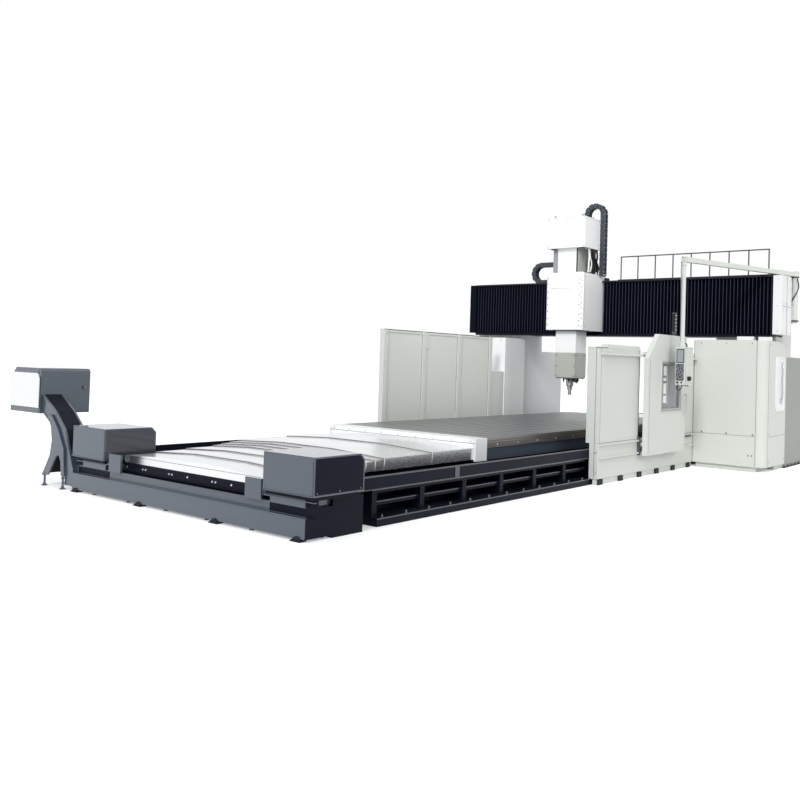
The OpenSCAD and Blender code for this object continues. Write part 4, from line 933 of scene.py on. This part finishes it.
def beam_fittings():
    """The beam's tray lip, roof strip, end cap seams and the small boxes under its near end."""
    dark = [
        block((0.543, -3.58, 2.668), (0.552, 3.58, 2.722)), block((0.545, -3.58, 3.902), (0.75, 3.58, 3.9295)),
        block((0.543, -3.58, 3.895), (0.551, 3.58, 3.915)),
    ]
    assemble("beam_tray_lip", FRAME, "navy", dark[:1])
    assemble("beam_roof_strip", FRAME, "seam", dark[1:])
    seams, heads = [], []
    for s in (-1,):
        y = s * 3.76
        a, b = sorted((y, y + s * 0.003))
        seams += [block((0.86, a, 2.74), (0.866, b, 3.91)), block((0.55, a, 3.30), (1.19, b, 3.305))]
        way = (0, s, 0)
        heads += bolts([(x, y, z) for x in (0.59, 0.82, 0.91, 1.15) for z in (2.78, 3.25, 3.36, 3.87)], way, 0.009, 0.006)
        a, b = sorted((s * 3.60, s * 3.75))
        heads += bolts([(0.545, (a + b) / 2, z) for z in (2.80, 3.30, 3.85)], FORE, 0.009, 0.006)
    assemble("end_cap_seams", FRAME, "seam", seams)
    assemble("end_cap_screws", FRAME, "bolt", heads)
    assemble("far_cap_skin", FRAME, "bellows", [
        block((0.541, 3.576, 2.727), (0.5455, 3.7635, 3.923)), block((0.541, 3.5765, 2.727), (0.75, 3.5797, 3.923)), block((0.541, 3.7598, 2.727), (1.19, 3.7635, 3.923)),
        block((0.541, 3.58, 3.9198), (1.19, 3.7635, 3.9235)), block((0.541, 3.58, 2.7265), (1.19, 3.7635, 2.7302)),
    ])
    light = [block((0.20, -3.32, 2.58), (0.50, -3.00, 2.668)), block((0.25, -3.66, 2.585), (0.29, -3.40, 2.665))]
    assemble("beam_cable_boxes", FRAME, "white", light)
    posts = [rod((0.30, y, 2.58), (0.30, y, 2.692), 0.018, 12) for y in (-3.36, -3.42, -3.49, -3.54, -3.62)]
    posts.append(block((0.33, -3.66, 2.60), (0.36, -3.34, 2.69)))
    assemble("beam_cable_pipes", FRAME, "seam", posts)
    back = [block((1.7495, y, 2.75), (1.756, y + 0.008, 3.87)) for y in steps(-3.0, 3.0, 1.0)]
    back += [block((1.7495, -3.5, z), (1.756, 3.5, z + 0.008)) for z in (2.86, 3.78)]
    assemble("beam_back_ribs", FRAME, "navy", back)


def walkway_fittings():
    """Grating bars, kick plates and post bolts of the walkway."""
    bars = [block((1.19, y, 3.970), (1.69, y + 0.005, 3.978)) for y in steps(-3.46, 0.28, 0.045)]
    bars += [block((x, -3.47, 3.970), (x + 0.006, 0.29, 3.980)) for x in steps(1.195, 1.68, 0.12)]
    assemble("walkway_grating", FRAME, "rail_grey", bars)
    kick = [block((1.686, -3.48, 3.97), (1.692, 0.30, 4.07)), block((1.19, -3.484, 3.97), (1.69, -3.478, 4.07))]
    assemble("walkway_kick_plates", FRAME, "seam", kick)
    heads = []
    for i in range(9):
        y = 0.06 - i * 0.415
        heads += bolts([(1.34 + dx, y + dy, 3.980) for dx in (-0.028, 0.028) for dy in (-0.028, 0.028)], UP, 0.005, 0.005)
    assemble("rail_post_bolts", FRAME, "bolt", heads)


def column_fittings():
    """Anchor bolts, foot plates, side skins and bolts on the columns."""
    heads, seams, plates = [], [], []
    for x in steps(1.45, 2.8, 0.27):
        heads += bolt((x, -3.625, 0.012), UP, 0.02, 0.03)
    plates.append(block((1.30, -3.66, 0.0), (2.90, -3.60, 0.012)))
    skins = [block((1.40, -3.6035, 0.03), (2.899, -3.5995, 2.29))]
    assemble("column_skins", FRAME, "stone", mirrored(skins))
    heads += bolts([(x, -3.60, z) for x in (1.26, 1.70) for z in (2.85, 3.10, 3.50)], NEAR, 0.013, 0.010)
    assemble("column_feet", FRAME, "seam", mirrored(plates))
    assemble("column_bolts", FRAME, "dark_bolt", mirrored(heads))


def guard_wall_fittings():
    """Edge strips, joint lines and bolts of the far guard wall."""
    xs = [-4.55 + i * (3.80 / 3) for i in range(4)]
    lines, heads, light = [], [], []
    for i in range(3):
        a, b = xs[i] + 0.055, xs[i + 1] - 0.055
        lines += [block((a, 2.2865, 0.13), (a + 0.008, 2.291, 2.52)), block((b - 0.005, 2.2865, 0.13), (b, 2.291, 2.52))]
        heads += bolts([(x, 2.2898, z) for x in (a + 0.03, b - 0.03) for z in (0.3, 0.95, 1.6, 2.2, 2.45)], NEAR, 0.009, 0.006)
    for x in xs:
        heads += bolts([(x, 2.2598, z) for z in (0.06, 0.62, 1.25, 1.9, 2.5)], NEAR, 0.010, 0.007)
        lines.append(block((x - 0.055, 2.2585, 2.572), (x + 0.055, 2.2605, 2.58)))
    lines.append(block((xs[0], 2.2785, 2.566), (xs[3], 2.2802, 2.58)))
    light += [block((xs[1] + 0.06, 2.272, 2.22), (xs[1] + 0.16, 2.2902, 2.55)),
              block((xs[2] + 0.06, 2.272, 2.22), (xs[2] + 0.12, 2.2902, 2.55))]
    assemble("guard_wall_lines", FRAME, "seam", lines)
    assemble("guard_wall_brackets", FRAME, "cream", light)
    assemble("guard_wall_bolts", FRAME, "bolt", heads)


def panel_fittings():
    """Seams, end post screws and plinth feet of the operator side panels."""
    y = -2.255
    seams = [
        block((-4.403, y - 0.0012, 0.6875), (-0.116, y + 0.0005, 0.6925)),
        block((-4.343, y - 0.0012, 0.70), (-4.339, y + 0.0005, 2.28)),
        block((-2.808, y - 0.0045, 0.70), (-2.798, y + 0.0005, 2.285)),
        block((-4.4042, -2.196, 0.11), (-4.4028, -2.190, 2.285)),
    ]
    assemble("panel_seams", FRAME, "seam", seams)
    heads = bolts([(-4.403, yy, z) for yy in (-2.062, -2.222) for z in (0.20, 0.54, 1.0, 1.45, 1.9, 2.17)
                   if not (yy > -2.1 and z < 0.6)], FORE, 0.0095, 0.005)
    heads += bolts([(x, y, z) for x in (-4.30, -3.6, -2.9) for z in (0.73, 2.25)], NEAR, 0.006, 0.004)
    assemble("panel_screws", FRAME, "bolt", heads)
    caps = [block((-4.41, y - 0.004, 2.288), (-4.10, -2.03, 2.302)), block((-4.41, y - 0.004, 2.288), (-2.80, -2.19, 2.296))]
    assemble("panel_caps", FRAME, "white", caps)
    feet = [block((x, -2.262, 0.0), (x + 0.16, -2.2, 0.09)) for x in steps(-4.35, -0.4, 0.79)]
    feet += [rod((x + 0.08, -2.245, 0.0), (x + 0.08, -2.245, 0.10), 0.016, 8) for x in steps(-4.35, -0.4, 0.79)]
    assemble("plinth_feet", FRAME, "seam", feet)
    guide = [block((-2.83, -2.305, 0.40), (-2.80, -2.255, 0.72)), block((-0.98, -2.30, 0.62), (-0.30, -2.28, 0.66))]
    assemble("door_stops", FRAME, "rail_grey", guide)
    loops = [hose([(-1.02, -2.30, 2.05), (-0.92, -2.31, 1.86), (-0.93, -2.30, 1.62), (-1.01, -2.31, 1.46), (-0.93, -2.30, 1.24)], 0.010, 8, 8),
             hose([(-0.88, -2.29, 2.08), (-0.86, -2.29, 1.5), (-0.87, -2.29, 0.75)], 0.012, 8, 4)]
    assemble("panel_hoses", FRAME, "white", loops[:1])
    assemble("panel_conduit", FRAME, "seam", loops[1:] + [block((-0.90, -2.305, z), (-0.84, -2.255, z + 0.1)) for z in (0.78, 1.05, 1.9)])


def door_fittings():
    """The door's window trim, strips behind the pane, seams and screws."""
    outer = -2.4551
    trim = frame_ring("y", outer, -0.006, -2.262, -1.318, 1.188, 2.102, 0.020)
    assemble("window_trim", "door", "grey_plastic", trim)
    gasket = frame_ring("y", -2.4452, 0.025, -2.232, -1.348, 1.218, 2.072, 0.016)
    assemble("window_gasket", "door", "grey_plastic", gasket)
    back = [block((-2.228, -2.382, 1.222), (-1.352, -2.376, 2.068))]
    assemble("window_back_sheet", "door", "grey_plastic", back)
    strips = [block((-2.09, -2.4185, z0), (-1.95, -2.4155, z1)) for z0, z1 in ((1.33, 1.47), (1.50, 1.70), (1.74, 1.80), (1.84, 2.02))]
    strips += [block((-1.915, -2.4185, 1.30), (-1.90, -2.4155, 2.03)), block((-2.21, -2.4185, 1.26), (-2.13, -2.4155, 2.04))]
    assemble("window_light_strips", "door", "white", strips)
    seams = [
        block((-2.78, -2.4465, 0.45), (-2.776, -2.4448, 2.12)), block((-2.76, -2.4465, 0.70), (-1.07, -2.4448, 0.704)),
        block((-2.84, -2.4465, 2.146), (-2.40, -2.4448, 2.150)),
    ]
    assemble("door_seams", "door", "seam", seams[:1])
    heads = bolts([(x, -2.445, z) for x in (-2.73, -1.12) for z in (0.46, 1.0, 1.6, 2.05)], NEAR, 0.007, 0.004)
    heads += bolts([(x, outer - 0.001, z) for x in (-2.25, -1.79, -1.33) for z in (1.198, 2.092)], NEAR, 0.006, 0.004)
    assemble("door_screws", "door", "bolt", heads)
    rollers = []
    for x in (-2.68, -1.21):
        rollers += [rod((x, -2.352, 2.235), (x, -2.30, 2.235), 0.024, 16), rod((x + 0.08, -2.352, 2.235), (x + 0.08, -2.30, 2.235), 0.024, 16)]
    assemble("door_rollers", "door", "black", rollers)
    grip = [rod((-1.14, -2.505, z), (-1.14, -2.505, z + 0.012), 0.017, 14) for z in (1.16, 1.43)]
    assemble("door_grip_rings", "door", "bolt", grip)


def cabinet_fittings():
    """Seams, screws, recessed handles and lids of the column covers."""
    x = -0.116
    seams = [
        block((x - 0.0015, -3.49, 0.698), (x + 0.0005, -2.26, 0.703)),
        block((x - 0.0015, -3.494, 0.11), (x + 0.0005, -3.488, 2.57)),
        block((x - 0.0015, -2.262, 0.11), (x + 0.0005, -2.256, 2.57)),
        block((0.064, -3.6715, 0.11), (0.070, -3.6695, 2.57)),
        block((0.10, -3.6715, 0.698), (1.24, -3.6695, 0.703)),
    ]
    heads = bolts([(x - 0.001, y, 0.728) for y in (-2.44, -2.93, -3.44)], FORE, 0.011, 0.006)
    heads += bolts([(x - 0.001, y, 0.32) for y in (-3.36, -3.43)], FORE, 0.010, 0.006)
    heads += bolts([(x - 0.001, y, 2.52) for y in (-2.4, -2.9, -3.4)], FORE, 0.008, 0.005)
    heads += bolts([(xx, -3.67, z) for xx in (0.14, 1.20) for z in (0.2, 0.75, 2.5)], NEAR, 0.008, 0.005)
    assemble("cabinet_seams", FRAME, "seam", mirrored(seams))
    assemble("cabinet_screws", FRAME, "dark_bolt", mirrored(heads))

    def pill(x0, x1, z0, z1, r):
        out = []
        for cx, cz, a0 in ((x1 - r, z1 - r, 0), (x0 + r, z1 - r, 90), (x0 + r, z0 + r, 180), (x1 - r, z0 + r, 270)):
            for i in range(6):
                turn = math.radians(a0 + 18 * i)
                out.append((cx + r * math.cos(turn), cz + r * math.sin(turn)))
        return out
    outer, inner = pill(0.52, 1.14, 1.18, 2.28, 0.10), pill(0.555, 1.105, 1.215, 2.245, 0.07)
    n = len(outer)
    corners = [(u, w, v) for w in (-3.682, -3.6695) for line in (outer, inner) for u, v in line]
    faces = []
    for i in range(n):
        j = (i + 1) % n
        faces += [(i, j, n + j, n + i), (2 * n + i, 2 * n + j, j, i), (n + i, n + j, 3 * n + j, 3 * n + i)]
    assemble("recess_frames", FRAME, "white", mirrored([(corners, faces)]))
    assemble("recess_plates", FRAME, "white", mirrored([prism(inner, "y", -3.6735, -3.6695)]))
    handle = [hose([(0.95, -3.672, 2.14), (0.94, -3.695, 2.10), (0.90, -3.70, 1.86), (0.92, -3.70, 1.60), (0.90, -3.695, 1.42), (0.89, -3.672, 1.36)],
                   0.016, 10, 8),
              block((0.84, -3.690, 1.34), (0.97, -3.673, 1.44)), block((0.90, -3.688, 2.08), (0.98, -3.673, 2.18))]
    assemble("recess_handles", FRAME, "ground", mirrored(handle))
    lids = [block((-0.06, -3.45, 2.5795), (0.74, -2.30, 2.588)), block((0.10, -3.64, 2.5795), (1.2, -3.612, 2.588))]
    assemble("cabinet_lids", FRAME, "cream", mirrored(lids))


def lamp_and_arm_fittings():
    """Lamp rings, the arm's end plates, joints and hanging cables."""
    rings = [rod((-1.14, -2.225, z), (-1.14, -2.225, z + 0.008), 0.047, 20) for z in (2.73, 2.80, 2.87, 2.94, 3.01)]
    assemble("lamp_rings", FRAME, "white", rings)
    assemble("lamp_strip", FRAME, "seam", [block((-1.195, -2.255, 2.70), (-1.175, -2.195, 3.05))])
    base = [rod((-1.14, -2.225, 2.29), (-1.14, -2.225, 2.31), 0.045, 16)]
    base += [rod((1.42, -3.76, 3.03), (1.42, -3.76, 3.06), 0.085, 20), rod((1.42, -3.76, 3.94), (1.42, -3.76, 3.964), 0.085, 20)]
    assemble("post_flanges", FRAME, "rail_grey", base)
    loop = [hose([(1.50, -3.70, 3.90), (1.54, -3.66, 3.74), (1.50, -3.64, 3.50), (1.44, -3.62, 3.30)], 0.016, 8, 8),
            hose([(1.38, -3.82, 3.92), (1.33, -3.85, 3.70), (1.36, -3.70, 3.42), (1.36, -3.62, 3.2)], 0.012, 8, 8)]
    assemble("arm_post_cables", FRAME, "black", loop)
    turn = math.atan2(1.08, -3.30)
    c, s = math.cos(turn), math.sin(turn)

    def along(u, v, z):
        return (1.42 + u * c - v * s, -3.76 + u * s + v * c, z)
    reach = math.hypot(3.30, 1.08)
    caps = [rod(along(reach, 0, 4.055), along(reach, 0, 4.068), 0.05, 16), rod(along(0, 0, 4.055), along(0, 0, 4.066), 0.078, 20),
            rod(along(reach, 0, 3.90), along(reach, 0, 3.962), 0.045, 16), rod(along(reach, 0, 2.441), along(reach, 0, 2.50), 0.044, 16)]
    assemble("arm_collars", "arm", "cream", caps)
    ties = []
    for u in steps(0.25, reach - 0.2, 0.45):
        ties.append(rod(along(u, -0.062, 3.985), along(u + 0.012, -0.062, 3.985), 0.016, 10))
    cable = hose([along(0.1, -0.062, 3.985), along(1.2, -0.062, 3.980), along(2.3, -0.062, 3.985), along(reach - 0.1, -0.060, 3.985),
                  along(reach + 0.02, -0.048, 3.90), along(reach + 0.01, -0.046, 3.4), along(reach, -0.046, 2.9), along(reach, -0.046, 2.5)],
                 0.010, 8, 6)
    assemble("arm_cable", "arm", "grey_plastic", [cable])
    assemble("arm_cable_ties", "arm", "seam", ties)


def pendant_fittings():
    """The display, keys, knobs and cable glands of the operator's pendant."""
    x = -1.98
    screen_frame = frame_ring("x", x, -0.008, -2.757, -2.613, 2.085, 2.345, 0.013)
    assemble("pendant_screen_frame", "pendant", "black", screen_frame)
    assemble("pendant_screen", "pendant", "screen", [block((x - 0.004, -2.745, 2.097), (x + 0.001, -2.625, 2.333))])
    pad = [block((x - 0.006, -2.752, 1.76), (x + 0.001, -2.608, 2.065))]
    assemble("pendant_keypad", "pendant", "rail_grey", pad)
    keys, dark = [], []
    for i in range(7):
        for j in range(9):
            if (i * 3 + j * 5) % 11 == 0:
                continue
            y, z = -2.744 + i * 0.0195, 1.785 + j * 0.0295
            shape = block((x - 0.0095, y, z), (x - 0.0055, y + 0.013, z + 0.019))
            (dark if (i + 2 * j) % 5 == 0 else keys).append(shape)
    assemble("pendant_keys", "pendant", "grey_plastic", keys)
    assemble("pendant_dark_keys", "pendant", "black", dark)
    knobs = [rod((-1.80, -2.765, 1.80), (-1.80, -2.812, 1.80), 0.042, 20), rod((-1.80, -2.812, 1.80), (-1.80, -2.822, 1.80), 0.030, 20),
             rod((x, -2.64, 1.725), (x - 0.025, -2.64, 1.725), 0.018, 16), rod((x, -2.715, 1.725), (x - 0.02, -2.715, 1.725), 0.014, 16)]
    assemble("pendant_knobs", "pendant", "black", knobs)
    dots = [rod((-1.72, -2.765, z), (-1.72, -2.769, z), 0.008, 12) for z in (2.21, 2.06)]
    dots += bolts([(xx, -2.765, z) for xx in (-1.955, -1.605) for z in (1.705, 2.355)], NEAR, 0.006, 0.004)
    assemble("pendant_screws", "pendant", "dark_bolt", dots)
    seams = [block((xx, -2.7662, 1.685), (xx + 0.003, -2.7645, 2.375)) for xx in (-1.93,)]
    seams += [block((-1.98, -2.766, 2.36), (-1.58, -2.7648, 2.363))]
    assemble("pendant_seams", "pendant", "seam", seams)
    glands = [rod((-1.68, y, 1.68), (-1.68, y, 1.655), 0.014, 12) for y in (-2.72, -2.68, -2.64)]
    glands += [hose([(-1.70, -2.70, 2.38), (-1.74, -2.70, 2.44), (-1.82, -2.69, 2.455), (-1.85, -2.685, 2.40)], 0.012, 8, 8),
               hose([(-1.90, -2.62, 1.68), (-1.91, -2.60, 1.61), (-1.85, -2.61, 1.57), (-1.80, -2.64, 1.62), (-1.80, -2.66, 1.68)], 0.008, 8, 8)]
    assemble("pendant_glands", "pendant", "black", glands)
    rims = frame_ring("y", -2.765, -0.0025, -1.98, -1.58, 1.68, 2.38, 0.01)
    assemble("pendant_edges", "pendant", "white", rims)


def dress_machine():
    trough_fittings()
    drive_box_fittings()
    conveyor_fittings()
    bed_fittings()
    cover_lips()
    cover_fronts()
    table_fittings()
    bellows_pleats()
    ram_drag_chain()
    saddle_drag_chain()
    saddle_fittings()
    ram_fittings()
    spindle_fittings()
    beam_fittings()
    walkway_fittings()
    column_fittings()
    guard_wall_fittings()
    panel_fittings()
    door_fittings()
    cabinet_fittings()
    lamp_and_arm_fittings()
    pendant_fittings()


# The camera stands where the photograph was taken from
CAMERA_PLACE = Vector((-17.663, -8.706, 1.967))
CAMERA_TURN = math.radians(39.187)
CAMERA_TILT = math.radians(1.453)
CAMERA_ROLL = math.radians(-1.872)
FOCAL_PIXELS = 864.19
IMAGE_SIDE = 800
IMAGE_CENTRE = (397.1, 338.15)
SENSOR = 36.0


def make_camera():
    ahead = Vector((
        math.cos(CAMERA_TURN) * math.cos(CAMERA_TILT),
        math.sin(CAMERA_TURN) * math.cos(CAMERA_TILT),
        math.sin(CAMERA_TILT),
    ))
    level = Vector((math.sin(CAMERA_TURN), -math.cos(CAMERA_TURN), 0.0))
    above = level.cross(ahead)
    c, s = math.cos(CAMERA_ROLL), math.sin(CAMERA_ROLL)
    right = c * level - s * above
    up = s * level + c * above
    camera = bpy.data.objects.new("camera", bpy.data.cameras.new("camera"))
    camera.matrix_world = Matrix.Translation(CAMERA_PLACE) @ Matrix((right, up, -ahead)).transposed().to_4x4()
    camera.data.sensor_width = SENSOR
    camera.data.lens = FOCAL_PIXELS / IMAGE_SIDE * SENSOR
    camera.data.shift_x = 0.5 - IMAGE_CENTRE[0] / IMAGE_SIDE
    camera.data.shift_y = IMAGE_CENTRE[1] / IMAGE_SIDE - 0.5
    camera.data.clip_end = 300
    bpy.context.collection.objects.link(camera)
    bpy.context.scene.camera = camera


def make_light():
    scene = bpy.context.scene
    scene.view_settings.view_transform = "Standard"
    world = bpy.data.worlds.new("studio")
    scene.world = world
    world.use_nodes = True
    tree = world.node_tree
    tree.nodes.clear()
    out = tree.nodes.new("ShaderNodeOutputWorld")
    seen = put(tree, "ShaderNodeBackground", inputs={"Color": (1, 1, 1, 1), "Strength": 1.0})
    fill = put(tree, "ShaderNodeBackground", inputs={"Color": (0.96, 0.98, 1.0, 1), "Strength": 0.60})
    path = tree.nodes.new("ShaderNodeLightPath")
    either = math_node(tree, "MAXIMUM", path.outputs["Is Camera Ray"], path.outputs["Is Transmission Ray"])
    either = math_node(tree, "MAXIMUM", either, path.outputs["Is Glossy Ray"])
    mix = tree.nodes.new("ShaderNodeMixShader")
    tree.links.new(either, mix.inputs[0])
    tree.links.new(fill.outputs[0], mix.inputs[1])
    tree.links.new(seen.outputs[0], mix.inputs[2])
    tree.links.new(mix.outputs[0], out.inputs[0])
    for name, aim, strength, size in (
        ("key", (0.80, 0.22, -0.56), 1.75, 12.0),
        ("side", (0.10, 0.85, -0.50), 0.75, 30.0),
    ):
        lamp = bpy.data.objects.new(name, bpy.data.lights.new(name, "SUN"))
        lamp.data.energy = strength
        lamp.data.angle = math.radians(size)
        lamp.rotation_mode = "QUATERNION"
        lamp.rotation_quaternion = Vector(aim).to_track_quat("-Z", "Y")
        bpy.context.collection.objects.link(lamp)
    panel = bpy.data.objects.new("portal_fill", bpy.data.lights.new("portal_fill", "AREA"))
    panel.data.size = 3.0
    panel.data.energy = 50
    panel.location = (-3.2, -0.6, 4.6)
    panel.rotation_mode = "QUATERNION"
    panel.rotation_quaternion = Vector((3.2, 3.6, -2.6)).to_track_quat("-Z", "Y")
    panel.visible_camera = panel.visible_glossy = False
    bpy.context.collection.objects.link(panel)


def make_floor():
    side = 150.0
    mesh = bpy.data.meshes.new("floor")
    corners = [(-side, -side, 0), (side, -side, 0), (side, side, 0), (-side, side, 0)]
    mesh.from_pydata([Vector(c) - Vector((0, 0, 0.001)) for c in corners], [], [(0, 1, 2, 3)])
    floor = bpy.data.objects.new("floor", mesh)
    bpy.context.collection.objects.link(floor)
    material = bpy.data.materials.new("floor_white")
    material.use_nodes = True
    tree = material.node_tree
    tree.nodes.clear()
    out = tree.nodes.new("ShaderNodeOutputMaterial")
    diffuse = put(tree, "ShaderNodeBsdfDiffuse", inputs={"Color": (0.85, 0.85, 0.85, 1)})
    glow = put(tree, "ShaderNodeEmission", inputs={"Color": (1, 1, 1, 1)})
    path = tree.nodes.new("ShaderNodeLightPath")
    lit = math_node(tree, "MAXIMUM", path.outputs["Is Camera Ray"], path.outputs["Is Glossy Ray"])
    tree.links.new(math_node(tree, "MULTIPLY", lit, 0.32), glow.inputs["Strength"])
    add = tree.nodes.new("ShaderNodeAddShader")
    tree.links.new(diffuse.outputs[0], add.inputs[0])
    tree.links.new(glow.outputs[0], add.inputs[1])
    tree.links.new(add.outputs[0], out.inputs[0])
    mesh.materials.append(material)


make_camera()
make_light()
make_floor()
finish_nodes()
dress_machine()
